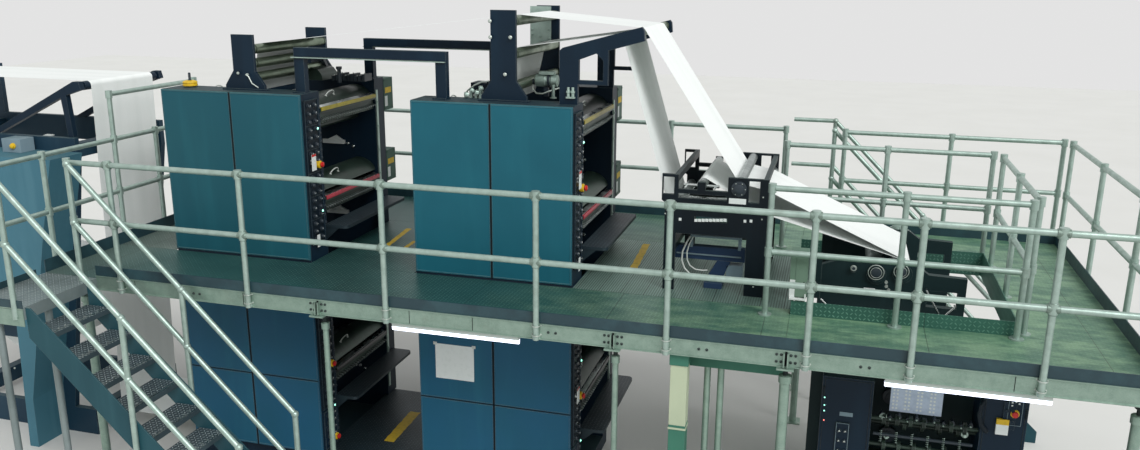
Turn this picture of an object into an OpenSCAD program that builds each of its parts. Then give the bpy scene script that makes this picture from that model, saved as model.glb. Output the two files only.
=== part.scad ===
/* [Press line] */
// Distance between the two printing towers along the line
tower_pitch = 2580; // [2300:10:3200]
// Length of a tower along the line
tower_length = 1490; // [1300:10:1600]
// Height of a tower above the floor
tower_height = 3900; // [3800:10:4400]
// Clear width between the side housings of a tower
frame_gap = 1120; // [1040:10:1400]
// Width of the paper web
web_width = 914; // [600:2:980]
// Mean depth of the two sides of a tower, across the line
housing_depth = 270; // [220:10:360]
// Shift of the printing gap towards the rear
throat_shift = 65; // [0:5:80]
// Height of the plinth under a tower
plinth_height = 290; // [150:10:400]
// Height of the bed between the side housings
bed_height = 140; // [80:5:200]
// Setback of the plinth behind the doors
plinth_setback = 40; // [20:5:80]
// Thickness of a door leaf
door_thick = 18; // [10:1:30]
// Gap between door leaves
door_gap = 6; // [3:1:12]
// Height of the horizontal door split on the lower floor
door_split = 1080; // [800:10:1300]
// Height of the tower above its top printing couple
couple_room = 340; // [330:5:420]
// Distance between the two couples of one module
couple_pitch = 780; // [740:10:800]
// Height of one two-couple module
module_height = 1800; // [1700:10:1900]
// Diameter of a plate or blanket cylinder
cylinder_d = 184; // [150:2:200]
// Diameter of a cylinder journal
journal_d = 70; // [40:2:100]
// Diameter of an ink roller
ink_roller_d = 92; // [70:2:110]
// Height of an ink fountain above its couple
fountain_rise = 130; // [120:5:150]
// Drop of the ink fountain of a lower couple
low_fountain = 80; // [0:5:90]
// Radius of the hood over an ink train
hood_radius = 205; // [180:5:220]
// Number of ink keys across a fountain
ink_keys = 24; // [8:1:36]
// Reach of a foot board out of a tower
board_reach = 245; // [200:5:340]
// Drop of a foot board below its couple
board_drop = 200; // [160:10:220]
// Width of a control panel
panel_width = 240; // [120:5:250]
// Number of button rows on a tower control panel
button_rows = 18; // [4:1:20]

/* [Deck] */
// Height of the deck above the floor
deck_height = 2310; // [2200:10:2400]
// Walkway in front of the towers
front_walk = 980; // [800:10:1400]
// Walkway behind the towers
rear_walk = 1130; // [900:10:1500]
// Walkway left of the first tower
left_walk = 647; // [600:1:1200]
// Walkway between the second tower and the folder pit
folder_walk = 1690; // [1600:10:2200]
// Walkway right of the folder pit
right_walk = 820; // [700:10:1200]
// Length of the folder pit along the line
pit_length = 1890; // [1800:10:2300]
// Length of fixed plate over the left end of the folder pit
well_inset = 200; // [0:10:240]
// Half of the width of the folder pit
pit_half = 960; // [900:10:1020]
// Thickness of the deck plate
plate_thick = 8; // [5:1:12]
// Seam between deck plates
plate_seam = 3; // [2:1:6]
// Clearance between the deck and the towers
deck_clear = 14; // [5:1:30]
// Height of the edge channel and the cross beams
channel_height = 100; // [90:5:200]
// Flange width of the edge channel
channel_flange = 60; // [50:5:90]
// Wall thickness of the channels and beams
steel_thick = 8; // [6:1:12]
// Height of the toe plate above the deck
toe_height = 118; // [90:1:160]
// Diameter of a deck column
column_d = 90; // [70:5:140]
// Inset of the end columns from the deck ends
column_inset = 130; // [110:10:400]
// Length of a light under the deck edge
light_length = 1100; // [900:10:1300]
// Width of the square box post beside the folder
box_post = 140; // [100:5:200]

/* [Guard rail] */
// Diameter of the rail tube
tube_d = 48; // [40:1:60]
// Height of the top rail above the deck
rail_top = 1055; // [1000:5:1150]
// Height of the middle rail above the deck
rail_mid = 532; // [450:1:600]
// Diameter of a rail clamp
clamp_d = 64; // [58:1:76]
// Spacing of the rail posts along the walkway
post_bay = 1290; // [1000:10:1350]
// Drop of an outside post below the deck
post_drop = 105; // [90:5:180]

/* [Stairs] */
// Number of risers from floor to deck
risers = 11; // [9:1:13]
// Going of one step
going = 210; // [200:5:260]
// Clear width of the stairs between the stringers
stair_width = 660; // [600:10:900]
// Distance from the deck edge to the stairs
stair_gap = 113; // [100:1:200]
// Depth of the stringer plate
stringer_depth = 230; // [200:5:300]
// Thickness of the stringer plate
stringer_thick = 12; // [8:1:20]
// Length of the stair landing along the line
landing_length = 560; // [540:10:800]
// Distance of the top stair posts from the first step
stair_post = 80; // [60:5:200]
// Height of the stair rail above the step noses
stair_rail = 950; // [850:10:1050]

/* [Web lead] */
// Height of the paper lead bracket of the first tower
bracket_1_height = 515; // [400:5:600]
// Height of the paper lead bracket of the second tower
bracket_2_height = 780; // [700:5:900]
// Width of a bracket plate at its neck
bracket_neck = 230; // [180:5:300]
// Width of a bracket plate at its foot
bracket_foot = 420; // [380:5:500]
// Thickness of a bracket plate
bracket_thick = 30; // [20:1:50]
// Diameter of a web guide roller
guide_d = 90; // [70:2:110]
// Height of the tie beams over the towers
tie_height = 115; // [80:5:200]
// Depth of a tie beam
tie_beam = 80; // [60:5:110]
// Width of a tie beam leg
tie_leg = 100; // [70:5:110]

/* [Folder] */
// Length of the turner frame on the deck
turner_length = 900; // [840:10:1000]
// Height of the turner frame above the deck
turner_height = 1030; // [900:10:1200]
// Width of the turner frame across the line
turner_width = 1240; // [1160:10:1400]
// Thickness of a turner frame side
turner_plate = 30; // [20:5:50]
// Width of the left legs of the turner frame
turner_leg = 130; // [100:5:150]
// Diameter of a turner roller
turner_d = 80; // [60:2:90]
// Height of the folder's upper side plates above the deck
folder_rise = 410; // [350:10:450]
// Clear width between the folder side plates
folder_gap = 1080; // [1060:10:1160]
// Thickness of a folder side plate
folder_plate = 60; // [40:5:70]
// Length of the upper part of the folder
folder_top = 1160; // [1100:10:1300]
// Length of the lower part of the folder
folder_base = 1500; // [1400:10:1700]
// Height of the lower part of the folder
folder_low = 1500; // [1300:10:1700]

/* [Reel stand] */
// Distance from the first tower to the infeed roller
infeed_reach = 1180; // [1000:10:1400]
// Height of the infeed roller above the deck
infeed_height = 1540; // [1400:10:1700]
// Length of the reel stand along the line
stand_length = 2300; // [2200:10:2600]
// Diameter of a full paper reel
reel_d = 1060; // [800:10:1100]

/* [Hidden] */
$fn = 48;
fit = 0.3;
web_thick = 1.2;

tower_1 = -tower_pitch;
tower_2 = 0;
half = tower_length / 2;
inner = frame_gap / 2;
outer = inner + housing_depth;
near_face = throat_shift - inner;
far_face = throat_shift + inner;
deck_left = tower_1 - half - left_walk;
pit_left = tower_2 + half + folder_walk;
pit_right = pit_left + pit_length;
well_left = pit_left + well_inset;
deck_right = pit_right + right_walk;
deck_front = -(outer + front_walk);
deck_rear = outer + rear_walk;
steel_top = deck_height - plate_thick;
steel_low = steel_top - channel_height;
tube_r = tube_d / 2;
post_offset = steel_thick + tube_r + fit;
clamp_h = 74;
grip = tube_r + 2;
riser = deck_height / risers;
bay_left = tower_1 + half;
bay_right = tower_2 - half;
turner_left = tower_2 + half + 740;
bracket_y = inner + 80;
arm_root = 583;
arm_tip = 1313;
arm_knee = 424;
arm_d = 70;
arm_outer = [tower_2 + 1240, tower_height + 610];
arm_inner = [tower_2 + 1046, tower_height + 555];
ply = web_thick + fit;
turner_header = turner_height / 2;
turner_in = [80, turner_height - 330];
turner_low = [337, turner_height - 90];
turner_turn = [660, turner_height - 40];
turner_top = [turner_length - 38, turner_height - 165];
turner_under = [turner_length - 38, turner_height - 290];
folder_left = pit_left + 400;
folder_front = -folder_gap / 2 - folder_plate;
nip_d = 150;
guide_nip = [pit_left + 857, deck_height + 289];
web_nip = [pit_left + 1059, deck_height + 316];
former_x = web_nip[0] + nip_d / 2;
former_z = web_nip[1] - 130;
cabinet_depth = 420;
cabinet_1 = [pit_left + 500, pit_left + 900];
cabinet_2 = [pit_left + 1720, pit_left + 2050];
couples = [for (m = [1, 0]) for (c = [1, 0])
    tower_height - couple_room - m * module_height - c * couple_pitch];
panel_thick = 14;

module span(x, y, z) {
    translate([x[0], y[0], z[0]]) cube([x[1] - x[0], y[1] - y[0], z[1] - z[0]]);
}

module side_plate(points, y, thick) {
    translate([0, y + thick, 0]) rotate([90, 0, 0]) linear_extrude(thick) polygon(points);
}

module roller(x, z, d, reach) {
    translate([x, reach, z]) rotate([90, 0, 0]) cylinder(h = 2 * reach, d = d);
}

module journalled(x, z, d, face, seat, journal) {
    roller(x, z, d, face);
    roller(x, z, journal, seat);
}

module bearing_roller(x, z, d, face, seat, journal) {
    depth = 14;
    journalled(x, z, d, face, seat, journal);
    for (side = [-1, 1]) translate([x, side * (seat - depth / 2), z]) rotate([90, 0, 0])
        cylinder(h = depth, d = journal + 50, center = true);
}

module tower_housing(centre) {
    front = -outer + door_thick;
    color("#17303c") {
        span([centre - half, centre + half], [front, near_face], [plinth_height, tower_height]);
        span([centre - half + plinth_setback, centre + half - plinth_setback],
             [front + plinth_setback, near_face], [0, plinth_height]);
    }
}

module tower_1_housing() tower_housing(tower_1);

module tower_2_housing() tower_housing(tower_2);

module tower_beds() {
    reach = half - plinth_setback;
    color("#23313a") for (centre = [tower_1, tower_2])
        span([centre - reach, centre + reach], [near_face, far_face], [0, bed_height]);
}

module gear_frames() {
    gear_box = [260, 210];
    color("#17303c") for (centre = [tower_1, tower_2]) {
        span([centre - half, centre + half], [far_face, outer], [plinth_height, tower_height]);
        span([centre - half + plinth_setback, centre + half - plinth_setback],
             [far_face, outer - plinth_setback], [0, plinth_height]);
        for (z = [couples[2], couples[3]])
            span([centre + half - gear_box[0], centre + half], [outer, outer + gear_box[1]],
                 [z - 20, z + couple_room - 20]);
    }
}

module lower_bay_floor() {
    side = outer - plinth_setback;
    plate_low = plinth_height - steel_thick;
    color("#2b3236") {
        span([bay_left - plinth_setback, bay_right + plinth_setback], [-side, side],
             [plate_low, plinth_height]);
        for (x = [bay_left - plinth_setback, (bay_left + bay_right) / 2, bay_right + plinth_setback - 60])
            span([x, x + 60], [-side, side], [0, plate_low]);
    }
}

module door_leaf(x, z) {
    span([x[0] + door_gap / 2, x[1] - door_gap / 2], [-outer, -outer + door_thick],
         [z[0] + door_gap / 2, z[1] - door_gap / 2]);
}

module tower_doors() {
    color("#1f5666") for (centre = [tower_1, tower_2]) for (side = [-1, 0]) {
        left = centre + side * half;
        door_leaf([left, left + half], [plinth_height, door_split]);
        door_leaf([left, left + half], [door_split, deck_height - channel_height]);
        door_leaf([left, left + half], [deck_height + deck_clear, tower_height]);
    }
}

module button_plate(width, height, rows) {
    pitch = height / (rows + 0.5);
    linear_extrude(panel_thick) square([width, height]);
    for (row = [0 : rows - 1]) for (side = [0.28, 0.72])
        translate([side * width, (row + 0.75) * pitch, 0]) cylinder(h = panel_thick + 12, d = 26);
}

module control_panels() {
    height = 1380;
    color("#20282c") for (centre = [tower_1, tower_2])
        for (z = [deck_height - channel_height - height - 80, tower_height - height - 60])
            translate([centre + half, -outer + 35, z]) rotate([90, 0, 90])
                button_plate(panel_width, height, button_rows);
}

module tower_cylinders(centre) {
    color("#8d979b") translate([centre, throat_shift, 0]) for (z = couples) for (side = [-1, 1])
        for (k = [0.5, 1.5])
            journalled(side * (k * (cylinder_d + 2) + web_thick), z + (k - 0.5) * 40,
                       cylinder_d, inner - 30, inner, journal_d);
}

module tower_1_cylinders() tower_cylinders(tower_1);

module tower_2_cylinders() tower_cylinders(tower_2);

module ink_hood() {
    flat = 0.82;
    translate([half - hood_radius - 25, inner, fountain_rise - 20]) rotate([90, 0, 0])
        linear_extrude(2 * inner) scale([1, flat]) difference() {
            circle(hood_radius);
            circle(hood_radius - 10);
            translate([-hood_radius, -hood_radius]) square([2 * hood_radius, hood_radius + 50]);
            translate([-hood_radius, 0]) square([hood_radius - 20, hood_radius]);
        }
}

function key_teeth(low, rise, pitch) = [for (k = [0 : ink_keys - 1]) each [
    [-inner + k * pitch, low + rise], [-inner + (k + 0.3) * pitch, low + rise],
    [-inner + (k + 0.3) * pitch, low], [-inner + (k + 1) * pitch, low]]];

module ink_fountain() {
    blade = fountain_rise - 105;
    span([half - 34, half + 12], [-inner, inner], [fountain_rise, fountain_rise + 48]);
    translate([half - 30, 0, 0]) rotate([90, 0, 90]) linear_extrude(10)
        polygon(concat(key_teeth(blade, 16, 2 * inner / ink_keys),
                       [[inner, fountain_rise], [-inner, fountain_rise]]));
}

module ink_unit(drop) {
    form_x = 1.5 * (cylinder_d + 2) + 0.5 * (cylinder_d + ink_roller_d) + 8;
    for (p = [[0, 30], [60, 130], [160, 60]])
        journalled(form_x + p[0], p[1], ink_roller_d, inner - 30, inner, journal_d / 2);
    journalled(form_x + 100, -40, ink_roller_d - 20, inner - 30, inner, journal_d / 2);
    ink_hood();
    translate([0, 0, -drop]) ink_fountain();
}

module tower_ink_units(centre) {
    color("#3a464c") for (i = [0 : 3]) translate([centre, throat_shift, couples[i]]) {
        drop = i % 2 == 0 ? low_fountain : 0;
        ink_unit(drop);
        mirror([1, 0, 0]) ink_unit(drop);
    }
}

module tower_1_ink_units() tower_ink_units(tower_1);

module tower_2_ink_units() tower_ink_units(tower_2);

module board_outline(width) {
    corner = 50;
    translate([4, 0]) square([board_reach - corner - 4, width]);
    translate([4, corner]) square([board_reach - 4, width - 2 * corner]);
    for (y = [corner, width - corner]) translate([board_reach - corner, y]) circle(corner);
}

module foot_boards() {
    thick = 30;
    stay = 20;
    y = [near_face - 2 * stay, outer - 60];
    color("#2c3438") for (centre = [tower_1, tower_2]) for (couple = [couples[0], couples[2]])
        translate([centre + half, 0, couple - board_drop]) {
            translate([0, y[0], 0]) linear_extrude(thick) board_outline(y[1] - y[0]);
            for (stay_y = [y[0] + 5, y[1] - 5 - stay])
                side_plate([[0, -130], [board_reach - 100, 0], [0, 0]], stay_y, stay);
        }
}

module bracket_plate(height, y) {
    neck = bracket_neck / 2;
    foot = bracket_foot / 2;
    side_plate([[-foot, 0], [foot, 0], [foot, 45], [neck, 180], [neck, height], [-neck, height],
                [-neck, 180], [-foot, 45]], y, bracket_thick);
    span([-foot - 25, foot + 25], [y - 20, y + bracket_thick + 20], [0, 14]);
}

module tower_brackets(centre, height) {
    color("#1d2a33") translate([centre + 75, 0, tower_height])
        for (y = [-bracket_y - bracket_thick, bracket_y]) bracket_plate(height, y);
}

module tower_1_brackets() tower_brackets(tower_1, bracket_1_height);

module tower_2_brackets() tower_brackets(tower_2, bracket_2_height);

module tie_beams() {
    left = tower_1 + half - 10;
    right = tower_2 - half + 300;
    thick = 70;
    low = tie_height + 220;
    color("#1d2a33") for (y = [-bracket_y - thick, bracket_y]) translate([0, 0, tower_height]) {
        for (x = [left, right]) {
            span([x - tie_leg, x], [y, y + thick], [0, low]);
            span([x - tie_leg - 25, x], [y - 20, y + thick + 20], [0, 12]);
        }
        span([left - tie_leg, right], [y, y + thick], [low, low + tie_beam]);
    }
}

module arm_plate() {
    leg = half - arm_root;
    reach = arm_tip - arm_root;
    difference() {
        polygon([[0, 0], [leg, 0], [leg, 175], [arm_knee, 175], [arm_knee, 464], [reach, 549],
                 [reach - 8, 640], [reach - 26, 664], [27, 479], [0, 455]]);
        polygon([[leg + 8, 210], [leg + 8, 381], [leg + 160, 438], [arm_knee - 42, 381],
                 [arm_knee - 42, 210]]);
    }
}

module lead_arms() {
    thick = 40;
    color("#1d2a33") for (y = [-bracket_y, bracket_y + thick])
        translate([tower_2 + arm_root, y, tower_height]) rotate([90, 0, 0])
            linear_extrude(thick) arm_plate();
}

module guide_rollers() {
    face = bracket_y - 30;
    color("#b9c0c2") {
        for (z = [380, 250, 120]) bearing_roller(guide_1, tower_height + z, guide_d, face, bracket_y, 40);
        for (z = [690, 410, 130]) bearing_roller(guide_2, tower_height + z, guide_d, face, bracket_y, 40);
        for (p = [arm_outer, arm_inner]) bearing_roller(p[0], p[1], arm_d, face, bracket_y, 30);
        translate([0, throat_shift, 0])
            journalled(tower_1 - over(guide_d), bottom_z + 50, guide_d, inner - 30, inner, 40);
    }
}

module deck_plate(x, y) {
    color("#5b6b66") span(x, y, [steel_top, deck_height]);
}

module front_deck() {
    deck_plate([deck_left, well_left - plate_seam], [deck_front, -outer - deck_clear]);
    deck_plate([well_left, deck_right], [deck_front, -pit_half - steel_thick]);
}

module rear_deck() {
    deck_plate([deck_left, well_left - plate_seam], [outer + deck_clear, deck_rear]);
    deck_plate([well_left, deck_right], [pit_half + steel_thick, deck_rear]);
}

module cross_deck(x) {
    side = outer + deck_clear - plate_seam;
    deck_plate(x, [-side, side]);
}

module left_deck() cross_deck([deck_left, tower_1 - half - deck_clear]);

module tower_bay_deck() cross_deck([bay_left + deck_clear, bay_right - deck_clear]);

module folder_bay_deck() cross_deck([tower_2 + half + deck_clear, well_left - steel_thick]);

module right_deck() {
    side = pit_half + steel_thick - plate_seam;
    deck_plate([pit_right + steel_thick, deck_right], [-side, side]);
}

module edge_channel(length) {
    rotate([90, 0, 90]) linear_extrude(length) polygon([
        [0, steel_low - deck_height], [channel_flange, steel_low - deck_height],
        [channel_flange, steel_low - deck_height + steel_thick],
        [steel_thick, steel_low - deck_height + steel_thick],
        [steel_thick, -plate_thick - steel_thick], [channel_flange, -plate_thick - steel_thick],
        [channel_flange, -plate_thick], [0, -plate_thick]]);
}

module toe_plate(length) {
    span([0, length], [-steel_thick, 0], [-60, toe_height]);
}

module front_edge() {
    color("#a9b8ae") translate([0, deck_front, deck_height]) {
        translate([deck_left, 0, 0]) edge_channel(deck_right - deck_left);
        translate([deck_left + landing_length, 0, 0]) toe_plate(deck_right - deck_left - landing_length);
    }
}

rear_gap = pit_left - 40;

module rear_edge() {
    color("#a9b8ae") translate([0, deck_rear, deck_height]) mirror([0, 1, 0]) {
        translate([deck_left, 0, 0]) edge_channel(deck_right - deck_left);
        translate([deck_left, 0, 0]) toe_plate(rear_gap - deck_left);
        translate([rear_gap + landing_length, 0, 0]) toe_plate(deck_right - rear_gap - landing_length);
    }
}

module end_edge() {
    depth = deck_rear - deck_front;
    translate([channel_flange, 0, 0]) edge_channel(depth - 2 * channel_flange);
    toe_plate(depth);
}

module left_edge() {
    color("#a9b8ae") translate([deck_left, deck_rear, deck_height]) rotate([0, 0, -90]) end_edge();
}

module right_edge() {
    color("#a9b8ae") translate([deck_right, deck_front, deck_height]) rotate([0, 0, 90]) end_edge();
}

module pit_edge() {
    low = steel_low;
    top = deck_height + toe_height;
    color("#4d6b5d") for (y = [-pit_half - steel_thick, pit_half])
        span([well_left, pit_right], [y, y + steel_thick], [low, top]);
    color("#4d6b5d") span([pit_right, pit_right + steel_thick],
        [-pit_half - steel_thick, pit_half + steel_thick], [low, top]);
    color("#4d6b5d") span([well_left - steel_thick, well_left],
        [-pit_half - steel_thick, pit_half + steel_thick], [low, deck_height]);
}

module beam(x) {
    y = [deck_front + channel_flange, deck_rear - channel_flange];
    span([x - 30, x + 30], y, [steel_low, steel_low + steel_thick]);
    span([x - 30, x + 30], y, [steel_top - steel_thick, steel_top]);
    span([x - 4, x + 4], y, [steel_low, steel_top]);
}

module cross_beams() {
    color("#8fa097") for (x = [deck_left + channel_flange + 160, bay_left + 30, bay_right - 30,
        tower_2 + half + 30, (tower_2 + half + pit_left) / 2, well_left - steel_thick - 30,
        pit_right + steel_thick + 30])
        beam(x);
}

function column_places() = [deck_left + column_inset + 200, (bay_left + bay_right) / 2 + 106,
    tower_2 + half + 610, pit_left + 220, deck_right - column_inset];

module column(x, y) {
    screw = 90;
    translate([x, y, 0]) {
        cylinder(h = steel_low - screw, d = column_d);
        translate([0, 0, steel_low - screw - 60]) cylinder(h = 60, d = column_d + 16);
        cylinder(h = steel_low, d = 36);
        for (z = [0, steel_low - 12]) translate([0, 0, z]) linear_extrude(12)
            square(column_d + 60, center = true);
    }
}

module front_columns() {
    y = deck_front + channel_flange + 30;
    color("#a9b8ae") for (x = column_places()) column(x, y);
    color("#8fb39a") translate([tower_2 + half + 1100, y, 0]) linear_extrude(steel_low)
        square(box_post, center = true);
}

module rear_columns() {
    color("#a9b8ae") for (x = column_places()) column(x, deck_rear - channel_flange - 30);
}

module rail_post(foot) {
    translate([0, 0, foot]) cylinder(h = rail_top - foot, d = tube_d);
    for (z = [rail_mid, rail_top]) translate([0, 0, z - clamp_h / 2]) cylinder(h = clamp_h, d = clamp_d);
}

module rail_tube(from, to, z) {
    translate([from + grip, 0, z]) rotate([0, 90, 0]) cylinder(h = to - from - 2 * grip, d = tube_d);
}

module outside_clamp() {
    translate([-30, 0, -97]) cube([60, post_offset, 36]);
}

module guard_rail(stations, foot = -post_drop, outside = true) {
    for (x = stations) translate([x, 0, 0]) {
        rail_post(foot);
        if (outside) outside_clamp();
    }
    for (i = [0 : len(stations) - 2]) for (z = [rail_mid, rail_top])
        rail_tube(stations[i], stations[i + 1], z);
}

module pit_rail(stations) {
    guard_rail(stations, 0, false);
    for (x = stations) translate([x, 0, 0]) cylinder(h = 10, d = 110);
}

module front_rail() {
    first = deck_left + corner_post;
    stations = [first, first + 423, first + 423 + post_bay, first + 423 + 2 * post_bay,
                first + 423 + 3 * post_bay, (first + 423 + 3 * post_bay + pit_left + 360) / 2,
                pit_left + 360, (pit_left + pit_right) / 2 + 130, pit_right + 40,
                deck_right - tube_r];
    color("#b3beb6") translate([0, deck_front - post_offset, deck_height]) guard_rail(stations);
}

module left_rail() {
    near = -deck_front + steel_thick + stair_near_face + tube_r + fit;
    tall = [740, -560];
    stations = [-deck_rear + 60, tall[1], 140, tall[0], -deck_front - 160, near];
    color("#b3beb6") translate([deck_left - post_offset, 0, deck_height]) rotate([0, 0, -90]) {
        guard_rail(stations);
        for (x = tall) translate([x, 0, 0]) {
            cylinder(h = rail_top + rail_mid - 50, d = tube_d);
            translate([0, 0, rail_top + rail_mid - 50 - clamp_h]) cylinder(h = clamp_h, d = clamp_d);
        }
        rail_tube(tall[1], tall[0], rail_top + rail_mid - 50 - clamp_h / 2);
    }
}

module rear_rail() {
    y = deck_rear + post_offset;
    left = [for (k = [0 : 5]) deck_left + 60 + k * (rear_gap - deck_left - 90) / 5];
    right = [for (k = [0 : 2]) rear_gap + landing_length + 30
             + k * (deck_right - rear_gap - landing_length - 60) / 2];
    color("#b3beb6") translate([0, y, deck_height]) mirror([0, 1, 0]) {
        guard_rail(left);
        guard_rail(right);
    }
}

module right_rail() {
    stations = [for (k = [0 : 3]) deck_front + 60 + k * (deck_rear - deck_front - 120) / 3];
    color("#b3beb6") translate([deck_right + post_offset, 0, deck_height])
        rotate([0, 0, 90]) guard_rail(stations);
}

pit_rail_y = pit_half + steel_thick + 60;

module pit_front_rail() {
    color("#b3beb6") translate([0, -pit_rail_y, deck_height])
        pit_rail([pit_left, (pit_left + pit_right) / 2 + 60, pit_right]);
}

module pit_end_rail() {
    color("#b3beb6") translate([pit_right + steel_thick + 60, 0, deck_height]) rotate([0, 0, 90])
        pit_rail([-pit_half + 60, 0, pit_half - 60]);
}

module pit_rear_rail() {
    color("#b3beb6") translate([0, pit_rail_y, deck_height])
        pit_rail([pit_left, (pit_left + pit_right) / 2, pit_right]);
}

stair_near_face = stair_gap + stair_width + 2 * stringer_thick;
landing_depth = stair_near_face + 20;
corner_post = landing_length - 140;

module landing() {
    low = steel_low - deck_height;
    span([0, landing_length], [-landing_depth, 0], [-plate_thick, 0]);
    span([0, landing_length], [-landing_depth, -landing_depth + steel_thick], [low, -plate_thick]);
    for (x = [0, landing_length - steel_thick])
        span([x, x + steel_thick], [-landing_depth, 0], [low, -plate_thick]);
    for (p = [[landing_length / 2, landing_depth], [landing_length, landing_depth * 0.7]])
        translate([p[0] - 60, -p[1] + 60, -deck_height]) cylinder(h = steel_top, d = 60);
}

module front_landing() {
    color("#5b6b66") translate([deck_left, deck_front - steel_thick, deck_height]) landing();
}

module rear_landing() {
    color("#5b6b66") translate([rear_gap, deck_rear + steel_thick, deck_height])
        mirror([0, 1, 0]) landing();
}

module stringer_plate(y) {
    flight = risers * going;
    slope = riser / going;
    side_plate([[0, -8], [stringer_depth * 0.2, -8], [flight, -deck_height + 8 + riser * 0.6],
                [flight, -deck_height], [flight - stringer_depth, -deck_height],
                [0, -stringer_depth - 40]], y, stringer_thick);
}

module stair_stringers() {
    stringer_plate(-stair_near_face);
    stringer_plate(-stair_gap - stringer_thick);
}

module stair_treads() {
    for (k = [1 : risers - 1]) translate([(k - 1) * going, 0, -k * riser])
        side_plate([[-20, 0], [going + 25, 0], [going + 25, -45], [going + 20, -45], [going + 20, -5],
                    [-20, -5]], -stair_near_face + stringer_thick, stair_width);
}

module sloped_tube(from, to, z) {
    drop = riser / going;
    run = to - from;
    length = run * sqrt(1 + drop * drop);
    translate([from, 0, z - from * drop]) rotate([0, 90 + atan(drop), 0]) cylinder(h = length, d = tube_d);
}

module rail_joint(x) {
    for (z = [rail_mid, rail_top]) translate([x, 0, z]) sphere(d = clamp_d);
}

module stair_rail_side(y, mid_post, end_post) {
    drop = riser / going;
    top_post = -stair_post;
    translate([0, y, 0]) {
        for (z = [rail_top, rail_mid]) sloped_tube(top_post, end_post, z + top_post * drop);
        translate([top_post, 0, -post_drop]) cylinder(h = rail_top + post_drop, d = tube_d);
        rail_joint(top_post);
        for (x = [mid_post, end_post]) {
            fall = (x - top_post) * drop;
            low = x == end_post ? -deck_height : rail_top - fall - stair_rail - stringer_depth;
            translate([x, 0, low]) cylinder(h = rail_top - fall - low, d = tube_d);
            translate([0, 0, -fall]) rail_joint(x);
        }
    }
}

module stair_rails() {
    near = -stair_near_face - tube_r - fit;
    stair_rail_side(near, 960, 1940);
    stair_rail_side(-stair_gap + tube_r + fit, 960, 1990);
    translate([0, near, 0]) for (z = [rail_mid, rail_top])
        rail_tube(-landing_length - 10, -stair_post, z);
}

module at_front_stair() {
    translate([deck_left + landing_length, deck_front - steel_thick, deck_height]) children();
}

module at_rear_stair() {
    translate([rear_gap + landing_length, deck_rear + steel_thick, deck_height])
        mirror([0, 1, 0]) children();
}

module front_stair_stringers() color("#3c7f86") at_front_stair() stair_stringers();

module front_stair_treads() color("#9aa6a2") at_front_stair() stair_treads();

module front_stair_rails() color("#b3beb6") at_front_stair() stair_rails();

module rear_stair_flight() {
    color("#3c7f86") at_rear_stair() {
        stair_stringers();
        stair_treads();
    }
}

module rear_stair_rails() color("#b3beb6") at_rear_stair() stair_rails();

module turner_side() {
    dip = turner_height - 125;
    post = turner_length - 165;
    block = turner_low[0] - 35;
    difference() {
        polygon([[30, 0], [turner_leg, 0], [turner_leg, turner_header], [post, turner_header], [post, 0],
                 [turner_length, 0], [turner_length, turner_height], [post - 175, turner_height],
                 [post - 175, dip], [block + 70, dip], [block + 70, dip + 70], [block, dip + 70],
                 [block, dip], [turner_leg + 12, dip], [turner_leg + 12, turner_height],
                 [0, turner_height], [0, turner_height - 230], [30, turner_height - 250]]);
        translate([10, turner_height - 175]) square([turner_leg - 35, 150]);
        translate([turner_leg + 12, turner_height - 202]) square([413, 40]);
        translate([post, turner_height - 205]) square([90, 185]);
        translate([turner_length * 0.32, turner_header + 120]) square([279, 40]);
    }
}

module turner_frame() {
    side = turner_width / 2;
    across = [-side + turner_plate, side - turner_plate];
    post = turner_length - 165;
    beam_z = [turner_header - 160, turner_header - 100];
    color("#20262a") translate([turner_left, 0, deck_height]) {
        for (y = [-side + turner_plate, side]) translate([0, y, 0]) rotate([90, 0, 0]) {
            linear_extrude(turner_plate) turner_side();
        }
        span([turner_leg - 25, turner_leg + 12], across, [turner_height - 60, turner_height]);
        span([turner_length - 50, turner_length - 10], across, [turner_height - 50, turner_height - 10]);
        span([turner_leg - 60, turner_leg], across, beam_z);
        span([post + 40, post + 100], across, beam_z);
        span([turner_leg, post + 40], [-100, 0], [beam_z[0], beam_z[1] + 40]);
    }
}

module turner_rollers() {
    seat = turner_width / 2 - turner_plate;
    color("#b9c0c2") for (p = [turner_in, turner_low, turner_turn, turner_top, turner_under])
        bearing_roller(turner_left + p[0], deck_height + p[1], turner_d, seat - 30, seat, 30);
}

module former_board() {
    bar = 38;
    top = former_z;
    reach = 700;
    color("#c9ccc8") {
        span([former_x - bar, former_x], [-folder_gap / 2, folder_gap / 2], [top, top + 40]);
        hull() {
            span([former_x - 20, former_x], [-web_width / 2, web_width / 2], [top, top + 1]);
            span([former_x - 130, former_x - 110], [-30, 30], [top - reach, top - reach + 1]);
        }
    }
}

module folder_side() {
    top = deck_height + folder_rise;
    shoulder = [pit_left + 1265, deck_height + 320];
    difference() {
        polygon([[folder_left, 0], [folder_left + folder_base, 0], [folder_left + folder_base, folder_low],
                 [folder_left + folder_top, folder_low + 200], [folder_left + folder_top, shoulder[1] - 10],
                 shoulder, [pit_left + 1170, top - 20], [pit_left + 600, top],
                 [folder_left, top - 80]]);
        translate([shoulder[0], deck_height + 49]) square([234, 140]);
    }
}

module bearing_cover(x, z, d) {
    translate([x, 0, z]) rotate([90, 0, 0]) {
        cylinder(h = 24, d = d);
        cylinder(h = 40, d = d * 0.7);
    }
}

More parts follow.
